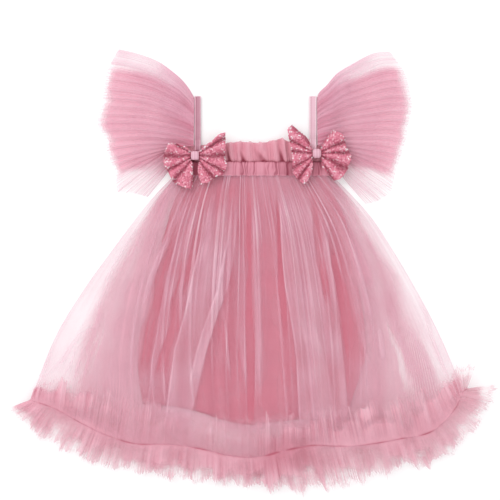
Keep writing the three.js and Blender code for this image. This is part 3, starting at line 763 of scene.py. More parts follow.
def makeRuffle(name, node, columnCount, rowCount, waves, height, seedStep, place):
    look = ruffleLook
    rng = np.random.default_rng(seed + seedStep)
    spread = np.linspace(-1, 1, rowCount)
    columns, rows = shares(columnCount), 0.5 + 0.5 * np.sign(spread) * np.abs(spread) ** 1.5
    noise = lambda *parts: sum(strength * softNoise(columnCount, width, rng) for strength, width in parts)
    frayLow, frayHigh = noise((1, 2), (0.8, 14)), noise((1, 2), (0.8, 14))
    streaks = noise((1, 1), (1, 3), (0.7, 9))
    atColumn = lambda values, across: np.interp(across, columns, values)

    def frayedPlace(across, row):
        far = np.abs(row - 0.5) * 2
        fray = np.where(row < 0.5, atColumn(frayLow, across), atColumn(frayHigh, across))
        grown = 0.5 + (row - 0.5) * (1 + look["frayed"] * fray * smoothStep(0.6, 1, far))
        return place(across, grown)

    def thread(across, row, slope):
        far = np.abs(row - 0.5) * 2
        x, y = np.moveaxis(place(across, row), -1, 0)
        fade = smoothStep(0.45, 1.05, far + 0.3 * cloud(x, y, 18, seedStep + 60))
        body = look["thread"] + (look["edgeThread"] - look["thread"]) * fade
        body = body * (1 + 0.32 * cloud(x, y, 34, seedStep + 61)) * slope ** 0.2
        body = body * np.where(row > 0.5, look["upperShare"](across), look["lowerShare"](across))
        streak = (0.015 + 0.09 * smoothStep(0.4, 1, far)) * atColumn(streaks, across)
        return np.clip(body + streak + 0.15 * bump(row, 0.5, 0.06), 0.02, 0.95)

    def tone(across, row):
        # Painted shade in the waves' valleys and painted light on their crests, a darker uneven line along
        # the seam, and paler toward the raw edges
        far = np.abs(row - 0.5) * 2
        x, y = np.moveaxis(place(across, row), -1, 0)
        turns = unevenTurns(across, waves)
        valleys = (wave(turns + 0.5 * smoothStep(0.46, 0.54, row)) - 0.5) * 0.35
        sewn = np.clip(0.35 + 0.5 * cloud(x, y, 22, seedStep + 62), 0, 1) * bump(row, 0.5, 0.008)
        nearSeam = look["middleTone"](across) * (1 - smoothStep(0.1, 0.8, far))
        return (valleys * far + 0.12 * atColumn(streaks, across) * far - 1.5 * sewn + 0.3 * far ** 3 - 0.1
                + nearSeam)

    obj = clothSheet(name, columns, rows, frayedPlace, height, thread, tone)
    dressPiece(obj, materials["ruffle"], "tulle_ruffle", node)
    return obj


def rufflePlace(across, row):
    seam = hemSeam(across)
    grown = 1 + 0.07 * np.sin(across * 130) + 0.04 * np.sin(across * 311)
    free = np.where((row < 0.5)[..., None], lowerEdge(across), upperEdge(across))
    return seam + (free - seam) * (np.abs(row - 0.5) * 2 * grown)[..., None]


def makeRuffles():
    look = ruffleLook

    def frontHeight(across, row):
        far = np.abs(row - 0.5) * 2
        turned = 0.5 * smoothStep(0.46, 0.54, row)
        small = look["smallRise"] * wave(unevenTurns(across, look["smallWaves"])) * smoothStep(0, 0.3, far)
        return (ruffleLift(row) + ruffleShare(row) * seamHeight(across) + 0.5 + small
                + look["waveShare"] * ruffleWave(row) * endPuff(across)
                * wave(unevenTurns(across, look["frontWaves"]) + turned))

    def backPlace(across, row):
        under = skirtShape(across, 1 - 0.11 * np.clip(row - 0.5, 0, 1))
        corner = np.exp(-((across - look["cornerPlace"]) / look["cornerWidth"]) ** 4)
        hanging = 0.5 - (0.5 - row) * (1 + look["cornerDrop"] * corner)
        return np.where((row <= 0.5)[..., None], rufflePlace(across, hanging), under)

    def backHeight(across, row):
        return look["backRise"] * (1 - 0.2 * row) * wave(unevenTurns(across, look["backWaves"])) + 0.5

    front = makeRuffle("ruffleFront", "hem_ruffle_front", 1700, 29, look["frontWaves"], frontHeight, 11,
                       rufflePlace)
    back = makeRuffle("ruffleBack", "hem_ruffle_back", 900, 21, look["backWaves"], backHeight, 12, backPlace)
    print("hem ruffles gathered")


makeRuffles()


# The elastic band and the frill above it

bandLook = {"gathers": 52, "relief": 0.8, "base": 4.2, "thickness": 1.6, "backThickness": 1.2}
frillLook = {"folds": 15, "backFolds": 7, "rise": 4.0, "backRise": 1.6, "base": 3.4}
bandFoot, bandTop, frillFoot = 115.2, 132.7, 131.4
bandShape = patch(
    near=straightLine([(bandLeft, bandFoot), (bandRight, bandFoot)]),
    far=straightLine([(bandLeft, bandTop), (bandRight, bandTop)]),
    start=straightLine([(bandLeft, bandFoot), (bandLeft, bandTop)]),
    end=straightLine([(bandRight, bandFoot), (bandRight, bandTop)]),
)
frillShape = patch(
    near=straightLine([(bandLeft, frillFoot), (bandRight, frillFoot)]),
    far=smoothLine([(bandLeft, 152), (-64, 154), (-32, 156), (-16, 158), (14, 157), (30, 160), (39, 162),
                    (46, 159), (74, 155), (bandRight, 151)]),
    start=straightLine([(bandLeft, frillFoot), (bandLeft, 152)]),
    end=straightLine([(bandRight, frillFoot), (bandRight, 151)]),
)


def makeBand():
    look = bandLook
    turns = lambda across: look["gathers"] * across + 0.55 * np.sin(across * 37) + 0.3 * np.sin(across * 83)
    strong = lambda across: 0.55 + 0.45 * np.sin(across * 29 + 2 * np.sin(across * 61))

    def ridge(across, up=0.5):
        leaning = turns(across + 0.0035 * np.sin(3 * up + across * 53)) + 0.12 * np.sin(7 * up + across * 91)
        return 1 - strong(across) * (1 - 0.7 * wave(leaning) ** 0.8 - 0.3 * wave(2.7 * leaning + 0.4))

    def frontPlace(across, up):
        flat = bandShape(across, up)
        flat[..., 1] -= 1.1 * (ridge(across) - 0.5) * (1 - smoothStep(0, 0.25, up))
        flat[..., 1] += 0.7 * (ridge(across + 0.01) - 0.5) * smoothStep(0.75, 1, up)
        return flat

    def frontHeight(across, up):
        lie = ramp((0, 6.4), (0.14, 7.7), (0.3, 8.3), (0.7, 8.3), (1, 6.6))(up)
        crown = 1 - np.abs(2 * up - 1) ** 3
        return lie + look["relief"] * ridge(across, up) * (0.35 + 0.65 * crown)

    def tone(across, up):
        # Painted light on the gathers' ridges and painted shade between them, painted shade along the top
        # under the frill, painted light on the scalloped foot, and painted shadows under the bows and beside
        # the right bow
        flat = bandShape(across, up)
        underBow = bump(flat[..., 0], -69, 6) + 0.6 * bump(flat[..., 0], 82, 6)
        shadowBesideBow = bump(flat[..., 0], 52, 13)
        return (1.1 * (ridge(across, up) - 0.72) - 0.5 * smoothStep(0.88, 1, up) - 0.1
                + 0.45 * (1 - smoothStep(0, 0.18, up)) - 1.2 * underBow - 0.7 * shadowBesideBow)

    columns = shares(620)
    front = clothSheet("elasticFront", columns, shares(19), frontPlace, frontHeight, None, tone)
    back = clothSheet("elasticBack", columns[::2], shares(7), bandShape,
                      lambda across, up: 1.4 + 0.7 * ridge(across), None, tone)
    thicken(front, look["thickness"])
    thicken(back, look["backThickness"])
    dressPiece(front, materials["elastic"], "elastic", "band_front")
    dressPiece(back, materials["elastic"], "elastic", "band_back")
    print("elastic band gathered")


def makeFrills():
    look = frillLook
    frontRise = ramp((0, bandLook["base"]), (0.5, look["base"]), (1, look["base"]))
    frontFold = ramp((0, 0.35), (0.5, 0.8), (1, 1))
    underKnots = ramp((0.08, 1), (0.1, 0), (0.17, 0), (0.19, 1), (0.84, 1), (0.86, 0), (0.94, 0), (0.96, 1))
    lean = lambda across, up: look["folds"] * across + 0.3 * up + 0.3 * np.sin(across * 17)
    small = lambda across, up: wave(2.1 * lean(across, up) + 0.5 * up + np.sin(across * 51))

    def frontPlace(across, up):
        flat = frillShape(across, up)
        flat[..., 1] += up ** 3 * (0.9 * np.sin(across * 95) + 0.5 * np.sin(across * 213))
        return flat

    def frontHeight(across, up):
        fold = look["rise"] * underKnots(across) * frontFold(up) * wave(lean(across, up))
        return frontRise(up) + 0.5 + fold + (0.35 + 0.5 * (1 - up)) * small(across, up)

    def thread(across, up, slope):
        return (0.9 - 0.12 * up + 0.05 * small(across, up)) * (1 - 0.3 * smoothStep(0.9, 1, up))

    def tone(across, up):
        # Painted shade in the crease at the frill's foot and in the turns between its folds, and painted
        # light on the folds' crowns and small ridges
        crease = -1.6 * bump(up, 0, 0.1) * (0.5 + 0.5 * small(across, up))
        turn = (lean(across, up) * 0.62 + 0.35 * up + 0.2) % 1
        foldTurnShade = -1.1 * bump(turn, 0.5, (0.004 + 0.02 * (1 - up)) ** 0.5) * (1 - smoothStep(0.1, 0.85, up))
        return (0.15 + crease + foldTurnShade + 0.4 * (wave(lean(across, up)) - 0.4)
                + 0.15 * (small(across, up) - 0.5))

    def backHeight(across, up):
        return 0.5 + look["backRise"] * up * wave(look["backFolds"] * across)

    front = clothSheet("frillFront", shares(520), shares(21), frontPlace, frontHeight, thread, tone)
    back = clothSheet("frillBack", shares(300), shares(13), frillShape, backHeight, thread, tone)
    dressPiece(front, materials["frill"], "tulle_dense", "neck_frill_front")
    dressPiece(back, materials["frill"], "tulle_dense", "neck_frill_back")
    print("neck frill stands above the band")


makeBand()
makeFrills()


# The straps: satin ribbon folded over at the shoulder

strapLook = {
    "left": {"from": -70.5, "to": -63.0, "foot": 154.5},
    "right": {"from": 73.0, "to": 82.0, "foot": 155.5},
    "fold": 215.0,       # where the ribbon turns over
    "legs": (0.7, 2.5),  # heights of its two legs
    "underBow": 6.1,     # height where it ends under the bow's knot
    "thickness": 0.5,
    "edgeRise": 0.35,    # height of the ribbon's two doubled edges
    # of the ribbon's middle, darker on the left ribbon as painted shade, and how much paler its raised edges
    # are painted as light
    "tones": {"left": (-0.75, 0.9), "right": (0.2, 0.8)},
}


def makeStrap(side):
    look, spot = strapLook, strapLook[side]
    lowLeg, highLeg = look["legs"]
    bend = (highLeg - lowLeg) / 2
    turnPlace = look["fold"] - bend
    lower = [(y, lowLeg) for y in np.linspace(spot["foot"], turnPlace, 30)]
    turn = [(turnPlace + bend * math.cos(angle), lowLeg + bend + bend * math.sin(angle))
            for angle in np.linspace(-math.pi / 2, math.pi / 2, 13)[1:-1]]
    upper = [(y, highLeg) for y in np.linspace(turnPlace, spot["foot"] + 6, 30)]
    underBow = look["underBow"] - highLeg
    climb = [(spot["foot"] + 6 - 14 * step, highLeg + underBow * smoothStep(0, 0.55, step))
             for step in np.linspace(0.1, 1, 8)]
    path = np.array(lower + turn + upper + climb)
    share = shares(17)
    relief = bump(share, 0.1, 0.07) + bump(share, 0.9, 0.07) - 0.6 * bump(share, 0.32, 0.05)
    along = np.gradient(path, axis=0)
    outward = np.stack([along[:, 1], -along[:, 0]], -1) / np.linalg.norm(along, axis=1)[:, None]
    spots = path[:, None, :] + outward[:, None, :] * relief[None, :, None] * look["edgeRise"]
    x = np.broadcast_to(spot["from"] + (spot["to"] - spot["from"]) * share, spots.shape[:2])
    points = np.dstack([x - patternMiddle[0], spots[..., 0] - patternMiddle[1], spots[..., 1]]) * mm
    length = np.cumsum(np.r_[0, np.linalg.norm(np.diff(path, axis=0), axis=1)]) * mm
    uvs = np.dstack(np.meshgrid(share * 8 * mm, length)).reshape(-1, 2)
    index = np.arange(share.size * len(path)).reshape(len(path), share.size)
    quads = np.stack([index[:-1, :-1], index[1:, :-1], index[1:, 1:], index[:-1, 1:]], -1).reshape(-1, 4)
    ribbon = meshObject(f"ribbon{side.title()}", points.reshape(-1, 3).tolist(), quads.tolist(), uvs)
    middleTone, edgeTone = look["tones"][side]
    # Painted light on the ribbon's raised edges and painted shade in its groove
    addAttribute(ribbon.data, "tone", np.tile(middleTone + edgeTone * relief, len(path)))
    thicken(ribbon, look["thickness"])
    dressPiece(ribbon, materials["satin"], "satin", f"strap_{side}")


for side in ("left", "right"):
    makeStrap(side)
print("straps folded")


# The sleeves: a dense layer under a sheer one, pleated out from the strap to the free edge

sleeveShapes = {
    "left": patch(
        near=straightLine([(-71, 213), (-71.8, 152), (-97.5, 152), (-96.7, 130)]),
        far=smoothLine([(-166, 274), (-175, 257), (-180, 245), (-186, 209), (-192, 186), (-191, 176),
                        (-184, 165), (-180, 146), (-176, 134), (-169, 117), (-167, 96), (-149, 94),
                        (-129.5, 89)]),
        start=smoothLine([(-71, 213), (-76, 222), (-86, 235), (-101, 248), (-117, 259), (-144, 269),
                          (-166, 274)]),
        end=smoothLine([(-96.7, 130), (-113, 109), (-129.5, 89)]),
    ),
    "right": patch(
        near=straightLine([(82.5, 212.5), (83.3, 153), (103, 152), (101.8, 130)]),
        far=smoothLine([(174, 271), (184, 257), (192, 245), (198, 224), (201, 202), (197, 182), (195, 165),
                        (190, 149), (184, 130), (177, 105), (174, 95), (158, 84), (144, 80)]),
        start=smoothLine([(82.5, 212.5), (85, 219), (95, 229), (107, 243), (126, 255), (154, 269),
                          (174, 271)]),
        end=smoothLine([(101.8, 130), (121, 106), (144, 80)]),
    ),
}
sleeveLook = {
    "pleats": 20,
    "rise": 2.6,          # height of the pleats at the free edge, mm
    "finePleats": 74,
    "fineRise": 0.5,
    "layerStep": 2.2,     # the outer layer's height over the inner one
    "overFrill": 5.2,     # height of the root's corner, which lies on the frill
    "innerThread": 0.8,
    "outerThread": 0.2,
    "points": 0.008,      # how far the pleats' ends stand out as points, as a share of the sleeve's width
}


def makeSleeve(side, seedStep):
    look, shape = sleeveLook, sleeveShapes[side]
    rng = np.random.default_rng(seed + seedStep)
    spread = softRamp((0, 0.18), (0.15, 0.35), (0.5, 0.7), (1, 1))
    overInner = ramp((0, 0), (7 / 60, look["layerStep"]), (53 / 60, look["layerStep"]), (1, 0))
    shifts = rng.uniform(0, 6, 3)
    uneven = lambda along: 0.12 * np.sin(along * 19 + shifts[0]) + 0.06 * np.sin(along * 47 + shifts[1])
    fine = lambda along: look["finePleats"] * along + 0.5 * np.sin(along * 23 + shifts[2])
    rootCorner = softRamp((0.42, 0), (0.54, look["overFrill"]), (0.8, look["overFrill"]), (0.9, 0))
    streaks = softNoise(900, 1, rng) + softNoise(900, 4, rng)
    streakAt = lambda along: np.interp(along, shares(900), streaks)

    def pleat(along, out):
        return (look["rise"] * spread(out) * wave(look["pleats"] * along + uneven(along) * out)
                + look["fineRise"] * wave(fine(along)) * smoothStep(0, 0.3, out)
                + rootCorner(along) * (1 - smoothStep(0.02, 0.4, out)))

    def place(along, out):
        turn = np.mod(look["pleats"] * along, 1)
        point = np.abs(turn - 0.5) * 2 + 0.5 * np.sin(along * 211)
        return shape(along, out * (1 + look["points"] * (0.5 - point) * smoothStep(0.75, 1, out)))

    def innerThread(along, out, slope):
        x, y = np.moveaxis(shape(along, out), -1, 0)
        low = 0.675 + 0.19 * (1 - out) + 0.03 * cloud(x, y, 30, seedStep + 73)
        sides = between(0.085, 0.12 + 0.03 * out, low, low + 0.09, along)
        edge = 1 - 0.85 * smoothStep(0.89, 0.99, out + 0.02 * cloud(x, y, 20, seedStep + 70))
        uneven = 1 + 0.03 * streakAt(along) + 0.06 * cloud(x, y, 40, seedStep + 71)
        return look["innerThread"] * sides * edge * uneven

    def outerThread(along, out, slope):
        x, y = np.moveaxis(shape(along, out), -1, 0)
        free = smoothStep(0.55, 1, out)
        lower, upper = smoothStep(0.66, 0.85, along), 1 - smoothStep(0.1, 0.2, along)
        drawnIn = 1 + 3.4 * (1 - out) ** 1.7  # the pleats come together at the root
        body = look["outerThread"] * drawnIn * (1 + 0.3 * cloud(x, y, 30, seedStep + 72))
        body = body * (1 - 0.25 * free - 0.05 * lower + 0.2 * upper)
        lines = wave(fine(along) / 2) ** 6 * (0.6 + 0.4 * np.sin(along * 67 + out * 3))
        fibres = (0.02 + 0.06 * free) * streakAt(along) + (0.28 * lower + 0.12 * upper) * lines
        return np.clip(body + fibres + 0.16 * bump(along, 0, 0.008) + 0.1 * bump(along, 1, 0.01), 0.02, 1)

    def tone(along, out):
        # Painted light on the pleats' crests and painted shade in their hollows, broad painted bands of shade
        # and light that curve out from the root, painted shade in the gathers at the root, and darker over
        # the lower part
        root = 1 - smoothStep(0, 0.5, out)
        broad = np.sin(along * 33 + shifts[0] + 1.5 * out) + 0.6 * np.sin(along * 71 + shifts[1] - 2 * out)
        ridges = 0.14 * (wave(look["pleats"] * along + uneven(along) * out) - 0.5) * out
        gathers = root * (0.5 + 0.4 * wave(fine(along) / 3) * smoothStep(0.2, 0.6, along))
        return (ridges + 0.05 * streakAt(along) + 0.1 * broad * (0.4 + root) - gathers
                - 0.3 * smoothStep(0.66, 0.85, along))

    inner = clothSheet(f"sleeveInner{side.title()}", np.linspace(5 / 60, 53 / 60, 300), 0.97 * shares(44),
                       place, lambda along, out: pleat(along, out) + 0.5, innerThread, tone)
    outer = clothSheet(f"sleeveOuter{side.title()}", shares(420), shares(48), place,
                       lambda along, out: pleat(along, out) + overInner(along) + 0.5, outerThread, tone)
    dressPiece(inner, materials["sleeve"], "tulle_dense", f"sleeve_{side}_inner")
    dressPiece(outer, materials["sheer"], "tulle_sheer", f"sleeve_{side}_outer")


makeSleeve("left", 21)
makeSleeve("right", 22)
print("sleeves pleated")


# Pieces grown by geometry nodes

def nodeGroup(name, **kinds):  # also gives the identifiers of its inputs, and the sockets that they feed
    tree = bpy.data.node_groups.new(name, "GeometryNodeTree")
    sockets = {}
    for label, kind in kinds.items():
        socket = tree.interface.new_socket(label, in_out="INPUT", socket_type=f"NodeSocket{kind}")
        sockets[label] = socket.identifier
    tree.interface.new_socket("Geometry", in_out="OUTPUT", socket_type="NodeSocketGeometry")
    return tree, sockets, tree.nodes.new("NodeGroupInput").outputs


def endGroup(tree, placed, material):
    real = addNode(tree, "GeometryNodeRealizeInstances", None, {"Geometry": placed.outputs["Instances"]})
    dressed = addNode(tree, "GeometryNodeSetMaterial", None,
                      {"Geometry": real.outputs["Geometry"], "Material": material})
    tree.links.new(dressed.outputs["Geometry"], tree.nodes.new("NodeGroupOutput").inputs["Geometry"])


def growPieces(name, mesh, group, sockets, **values):  # a piece of its own, grown on a mesh
    obj = bpy.data.objects.new(name, mesh)
    bpy.context.collection.objects.link(obj)
    nodes = obj.modifiers.new("growth", "NODES")
    nodes.node_group = group
    for label, value in values.items():
        nodes[sockets[label]] = value
    applyModifiers(obj)
    return obj


# The bows: pleated sequin wings and satin knots

wingShapes = {
    ("left", "left"): dict(
        near=[(-75.4, 146), (-75.4, 134.5), (-73.5, 130), (-72.5, 104)],
        far=[(-102, 156), (-109, 140), (-109, 131), (-104, 121), (-99, 111), (-94, 105)],
        start=[(-75.4, 146), (-84, 152), (-92, 155), (-102, 156)],
        end=[(-72.5, 104), (-75, 99.5), (-84, 101), (-94, 105)]),
    ("left", "right"): dict(
        near=[(-64.6, 146), (-64.6, 134.5), (-66, 121), (-62, 105)],
        far=[(-32, 169), (-32, 154), (-32, 137), (-31, 125), (-34, 117)],
        start=[(-64.6, 146), (-54, 154), (-46, 161), (-39, 167), (-32, 169)],
        end=[(-62, 105), (-52, 108), (-44, 114), (-34, 117)]),
    ("right", "left"): dict(
        near=[(76.4, 148), (76.4, 137.5), (76, 122), (72, 111)],
        far=[(51, 179), (46, 172), (49, 155), (52, 134), (52, 121), (57, 112)],
        start=[(76.4, 148), (70, 162), (62, 169), (51, 179)],
        end=[(72, 111), (66, 106), (57, 112)]),
    ("right", "right"): dict(
        near=[(88.1, 148), (88.1, 137.5), (90, 126), (104, 109)],
        far=[(102, 172), (115, 166), (119, 150), (124, 142), (124, 134), (120, 122)],
        start=[(88.1, 148), (89, 154), (96, 165), (102, 172)],
        end=[(104, 109), (112, 112), (120, 122)]),
}
bowLook = {
    "pleats": 6.5,        # in half a turn round the knot
    "middles": {"left": (-70, 140.5), "right": (82.3, 143)},
    "base": 10.2,
    "pleatRise": 4.0,
    "thickness": 0.5,
    "sequinSize": 2.1,    # mm across
    "sequinGap": 1.4,     # least distance between their middles, mm
    "sequinTilt": 0.32,   # radians
}


def sequinGroup():
    tree, sockets, given = nodeGroup("sewnSequins", Cloth="Geometry", Size="Float", Gap="Float", Tilt="Float",
                                     Seed="Int", Material="Material")
    spots = addNode(tree, "GeometryNodeDistributePointsOnFaces", {"distribute_method": "POISSON"},
                    {"Mesh": given["Cloth"], "Distance Min": given["Gap"], "Density Max": 900000.0,
                     "Seed": given["Seed"]})
    chance = addNode(tree, "FunctionNodeRandomValue", {"data_type": "FLOAT"}, {"Seed": given["Seed"]})
    edge = addNode(tree, "GeometryNodeInputNamedAttribute", {"data_type": "FLOAT"}, {"Name": "edge"})
    glint = mathNode(tree, "MULTIPLY_ADD", edge.outputs["Attribute"], 0.22, chance.outputs[1], clamp=True)
    marked = addNode(tree, "GeometryNodeStoreNamedAttribute", {"data_type": "FLOAT", "domain": "POINT"},
                     {"Geometry": spots.outputs["Points"], "Name": "glint", "Value": glint})
    radius = mathNode(tree, "MULTIPLY", given["Size"], 0.5)
    flatTop, depth = mathNode(tree, "MULTIPLY", radius, 0.3), mathNode(tree, "MULTIPLY", radius, 0.28)
    disc = addNode(tree, "GeometryNodeMeshCone", {"fill_type": "NONE"},
                   {"Vertices": 9, "Radius Top": flatTop, "Radius Bottom": radius, "Depth": depth})
    tiltBack = mathNode(tree, "MULTIPLY", given["Tilt"], -1.0)
    low = addNode(tree, "ShaderNodeCombineXYZ", None, {"X": tiltBack, "Y": tiltBack, "Z": -3.14})
    high = addNode(tree, "ShaderNodeCombineXYZ", None, {"X": given["Tilt"], "Y": given["Tilt"], "Z": 3.14})
    tilt = addNode(tree, "FunctionNodeRandomValue", {"data_type": "FLOAT_VECTOR"},
                   {"Min": low.outputs[0], "Max": high.outputs[0], "Seed": given["Seed"]})
    turned = addNode(tree, "FunctionNodeRotateRotation", {"rotation_space": "LOCAL"},
                     {"Rotation": spots.outputs["Rotation"], "Rotate By": tilt.outputs["Value"]})
    placed = addNode(tree, "GeometryNodeInstanceOnPoints", None,
                     {"Points": marked.outputs["Geometry"], "Instance": disc.outputs["Mesh"],
                      "Rotation": turned.outputs["Rotation"]})
    endGroup(tree, placed, given["Material"])
    return tree, sockets


sequins, sequinSockets = sequinGroup()


def makeWing(side, wing, seedStep):
    look = bowLook
    lines = wingShapes[side, wing]
    shape = patch(near=smoothLine(lines["near"]), far=smoothLine(lines["far"]),
                  start=smoothLine(lines["start"]), end=smoothLine(lines["end"]))
    rng = np.random.default_rng(seed + seedStep)
    shift = rng.uniform(0, 6)
    facing = -1 if wing == "left" else 1

    def aroundKnot(along, out):  # the distance from the knot, and where a spot is in the turn of the pleats
        x, y = np.moveaxis(shape(along, out) - np.array(look["middles"][side]), -1, 0)
        away, angle = np.hypot(x, y), np.arctan2(y, x * facing)
        uneven = 0.16 * np.sin(angle * 5 + shift) + 0.04 * np.sin(away / 4 + shift)
        return away, look["pleats"] * angle / math.pi + uneven

    def ridge(turns):
        return wave(turns) ** 0.6

    def height(along, out):
        away, turns = aroundKnot(along, out)
        crown = ramp((0, 0.5), (8, 1.5), (20, 2.2), (32, 1.6), (45, 0.6))(away)
        return look["base"] + 1.0 + crown + look["pleatRise"] * smoothStep(2, 30, away) * ridge(turns)

    def tone(along, out):
        # Painted light on the pleats' ridges, and painted shade in their hollows and next to the knot
        away, turns = aroundKnot(along, out)
        return 1.7 * (ridge(turns) - 0.6) - 0.9 * (1 - smoothStep(4, 16, away))

    name = f"bow{side.title()}Wing{wing.title()}"
    cloth = clothSheet(name, shares(72), shares(40), shape, height, None, tone)
    along, out = np.meshgrid(shares(72), shares(40))
    # The edge value gives more painted white glints to the sequins near the wing's edges
    edge = np.maximum(smoothStep(0.82, 1, out), smoothStep(0.4, 0.5, np.abs(along - 0.5)))
    addAttribute(cloth.data, "edge", edge)
    cover = growPieces(name + "Sequins", cloth.data.copy(), sequins, sequinSockets,
                       Size=look["sequinSize"] * mm, Gap=look["sequinGap"] * mm, Tilt=look["sequinTilt"],
                       Seed=seed + seedStep, Material=materials["sequin"])
    thicken(cloth, look["thickness"])
    dressPiece(cloth, materials["sequinBase"], "sequin_cloth", f"bow_{side}_wing_{wing}")
    dressPiece(cover, None, "sequin_cloth")


knotLook = {
    "left": {"from": -75.0, "to": -65.0, "low": 134.7, "high": 146.0, "boxy": 4.0},
    "right": {"from": 76.8, "to": 87.7, "low": 137.0, "high": 149.0, "boxy": 2.4},
    "base": 5.6,
    "top": 16.9,
    "creases": 3,
    "creaseDepth": 0.35,
}


def makeKnot(side):
    look, spot = knotLook, knotLook[side]
    ringCount, crossCount = 56, 31
    around = np.linspace(0, 2 * math.pi, ringCount, endpoint=False)
    across = np.linspace(-1, 1, crossCount)
    power = 2 / spot["boxy"]
    soft = lambda value: np.sign(value) * np.abs(value) ** power
    swell = (1 - np.abs(across) ** (spot["boxy"] * 1.6)) ** (1 / (spot["boxy"] * 1.6))
    swell = np.clip(swell, 0.12, 1)
    ridges = 0.5 + 0.5 * np.cos(across * math.pi * look["creases"])
    crease = 1 - look["creaseDepth"] * 0.12 * ridges
    halfHigh, halfDeep = (spot["high"] - spot["low"]) / 2, (look["top"] - look["base"]) / 2
    middleY, middleZ = (spot["low"] + spot["high"]) / 2, (look["base"] + look["top"]) / 2
    ring = np.stack([soft(np.cos(around)) * halfHigh, soft(np.sin(around)) * halfDeep], -1)
    points = []
    for share, grown, dent in zip(across, swell, crease):
        x = (spot["from"] + spot["to"]) / 2 + share * (spot["to"] - spot["from"]) / 2
        for y, z in ring * grown * dent:
            points.append(((x - patternMiddle[0]) * mm, (middleY + y - patternMiddle[1]) * mm,
                           (middleZ + z) * mm))
    index = np.arange(len(points)).reshape(crossCount, ringCount)
    following = np.roll(index, -1, axis=1)
    quads = np.stack([index[:-1], following[:-1], following[1:], index[1:]], -1).reshape(-1, 4).tolist()
    caps = [index[0][::-1].tolist(), index[-1].tolist()]
    uvs = np.dstack(np.meshgrid(around * 6 * mm, across * 5 * mm)).reshape(-1, 2)
    knot = meshObject(f"knot{side.title()}", points, quads + caps, uvs)
    # Painted shade in the knot's creases
    addAttribute(knot.data, "tone", np.repeat(0.1 - 0.35 * ridges, ringCount))
    dressPiece(knot, materials["satin"], "satin", f"bow_{side}_knot")


for step, side in enumerate(("left", "right")):
    makeWing(side, "left", 31 + 2 * step)
    makeWing(side, "right", 32 + 2 * step)
    makeKnot(side)
print("bows: wings, sequins and knots")


# Stitches along the seams, and the frayed threads of the ruffle's raw edges

stitchLook = {
    "pitch": 3.0,       # from one stitch to the next, mm
    "length": 1.9,
    "width": 0.35,
}


def stitchGroup():
    tree, sockets, given = nodeGroup("stitchRow", Seam="Geometry", Pitch="Float", Length="Float",
                                     Width="Float", Material="Material")
    line = addNode(tree, "GeometryNodeMeshToCurve", None, {"Mesh": given["Seam"]})
    spots = addNode(tree, "GeometryNodeCurveToPoints", {"mode": "LENGTH"},
                    {"Curve": line.outputs["Curve"], "Length": given["Pitch"]})
    bead = addNode(tree, "GeometryNodeMeshUVSphere", None, {"Segments": 6, "Rings": 5, "Radius": 0.5})
    size = addNode(tree, "ShaderNodeCombineXYZ", None,
                   {"X": given["Width"], "Y": given["Width"], "Z": given["Length"]})
    placed = addNode(tree, "GeometryNodeInstanceOnPoints", None,
                     {"Points": spots.outputs["Points"], "Instance": bead.outputs["Mesh"],
                      "Rotation": spots.outputs["Rotation"], "Scale": size.outputs[0]})
    endGroup(tree, placed, given["Material"])
    return tree, sockets


stitches, stitchSockets = stitchGroup()


def stitchRow(name, slot, spots):
    points = [((x - patternMiddle[0]) * mm, (y - patternMiddle[1]) * mm, z * mm) for x, y, z in spots]
    mesh = bpy.data.meshes.new(name)
    mesh.from_pydata(points, [(k, k + 1) for k in range(len(points) - 1)], [])
    row = growPieces(name, mesh, stitches, stitchSockets, Pitch=stitchLook["pitch"] * mm,
                     Length=stitchLook["length"] * mm, Width=stitchLook["width"] * mm,
                     Material=materials["thread"])
    dressPiece(row, None, slot)


def makeStitches():
    across = shares(500)
    seam = hemSeam(across)
    rows = seamHeight(across) + ruffleLook["waveShare"] * 1.4 * endPuff(across) * wave(
        unevenTurns(across, ruffleLook["frontWaves"]) + 0.25)
    stitchRow("seamRuffle", "tulle_ruffle", np.column_stack([seam, rows + 0.75]))
    for side in ("left", "right"):
        spot, look = strapLook[side], strapLook
        width = spot["to"] - spot["from"]
        for share, label in ((0.19, "Inner"), (0.81, "Outer")):
            heights = np.linspace(spot["foot"] + 7, look["fold"] - 2, 30)
            stitchRow(f"seamStrap{side.title()}{label}", "satin",
                      [(spot["from"] + width * share, y, look["legs"][1] + 0.15) for y in heights])
    print("stitches sewn")


makeStitches()


frayLook = {
    "threads": 2600,
    "length": (1.5, 5.0),   # past the edge, mm
    "hold": 3,              # and inside it
    "width": 0.22,
    "cover": 0.5,
    "lowerShare": 0.62,     # of the threads are on the lower edge
    "lean": 0.45,           # radians, to either side
    "droop": 0.6,           # of a tip, mm
}


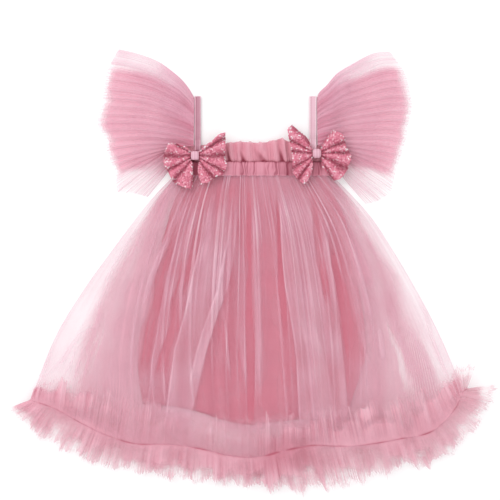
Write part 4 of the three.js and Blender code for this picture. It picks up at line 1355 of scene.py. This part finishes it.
def makeFray():
    look = frayLook
    rng = np.random.default_rng(seed + 90)
    count = look["threads"]
    across = rng.uniform(0, 1, count)
    row = np.where(rng.uniform(size=count) < look["lowerShare"], 0.0, 1.0)
    root, inward = rufflePlace(across, row), rufflePlace(across, 0.5 + (row - 0.5) * 0.8)
    outward = root - inward
    outward /= np.linalg.norm(outward, axis=1)[:, None]
    angle = rng.normal(0, look["lean"], count)
    turned = np.stack([outward[:, 0] * np.cos(angle) - outward[:, 1] * np.sin(angle),
                       outward[:, 0] * np.sin(angle) + outward[:, 1] * np.cos(angle)], -1)
    sideways = np.stack([-turned[:, 1], turned[:, 0]], -1) * look["width"] / 2
    length = rng.uniform(*look["length"], count)[:, None]
    turns = unevenTurns(across, ruffleLook["frontWaves"]) + 0.5 * (row > 0.5)
    z = (ruffleLift(row) + ruffleShare(row) * seamHeight(across) + 0.7
         + ruffleLook["waveShare"] * ruffleWave(row) * endPuff(across) * wave(turns))
    start = root - turned * look["hold"]
    tip = root + turned * length
    corners = np.stack([start - sideways, start + sideways, tip + sideways * 0.5, tip - sideways * 0.5], 1)
    low = np.maximum(z - look["droop"], 0.4)
    heights = np.stack([z, z, low, low], 1)
    points = np.concatenate([corners - patternMiddle, heights[..., None]], -1).reshape(-1, 3) * mm
    threads = meshObject("frayedThreads", points.tolist(), np.arange(4 * count).reshape(-1, 4).tolist(),
                         np.tile([(0, 0), (0.0003, 0), (0.0003, 0.005), (0, 0.005)], (count, 1)))
    addAttribute(threads.data, "thread", np.repeat(look["cover"] * rng.uniform(0.3, 1, count), 4))
    addAttribute(threads.data, "tone", np.repeat(rng.uniform(-0.2, 0.9, count), 4))
    dressPiece(threads, materials["ruffle"], "tulle_ruffle")
    print("raw edges frayed")


makeFray()


# Floor, light and camera

stageLook = {
    "floor": srgb(246, 246, 246),
    "floorHeight": -0.0006,
    "floorGlow": 0.1,
    "world": (1.0, 0.995, 1.0, 1),
    "worldStrength": 0.93,
    "lampStrength": 22.0,
    "lampSize": 2.2,
    "lampPlace": (-1.3, 1.5, 2.2),
    "lampTurn": (-42, -30, 0),          # degrees
    "cameraHeight": 3.0,
    "fieldWidth": 0.625,                # metres of the dress across the picture
    "middle": (0.00018, 0.02525),       # what the picture is centred on
}


def makeStage():
    look = stageLook
    corners = [(x, y, look["floorHeight"]) for x, y in ((-3, -3), (3, -3), (3, 3), (-3, 3))]
    floor = meshObject("floor", corners, [(0, 1, 2, 3)])
    material, tree, surface = newMaterial("paleFloor")
    surface.inputs["Base Color"].default_value = look["floor"]
    surface.inputs["Roughness"].default_value = 0.95
    surface.inputs["Specular IOR Level"].default_value = 0.0
    surface.inputs["Emission Color"].default_value = (1, 1, 1, 1)
    surface.inputs["Emission Strength"].default_value = look["floorGlow"]
    floor.data.materials.append(material)

    world = bpy.data.worlds.new("softRoom")
    bpy.context.scene.world = world
    world.use_nodes = True
    background = world.node_tree.nodes["Background"].inputs
    background["Color"].default_value = look["world"]
    background["Strength"].default_value = look["worldStrength"]

    lamp = bpy.data.lights.new("window", "AREA")
    lamp.shape, lamp.size, lamp.energy = "DISK", look["lampSize"], look["lampStrength"]
    lampObject = bpy.data.objects.new("window", lamp)
    lampObject.location = look["lampPlace"]
    lampObject.rotation_euler = [math.radians(turn) for turn in look["lampTurn"]]
    bpy.context.collection.objects.link(lampObject)

    camera = bpy.data.cameras.new("above")
    camera.sensor_width = 36
    camera.lens = camera.sensor_width * look["cameraHeight"] / look["fieldWidth"]
    camera.clip_end = 20
    cameraObject = bpy.data.objects.new("above", camera)
    cameraObject.location = (*look["middle"], look["cameraHeight"] + 0.008)
    bpy.context.collection.objects.link(cameraObject)
    scene = bpy.context.scene
    scene.camera = cameraObject
    scene.view_settings.view_transform = "Standard"
    scene.cycles.transparent_max_bounces = 48
    print("floor, light and camera set")


makeStage()
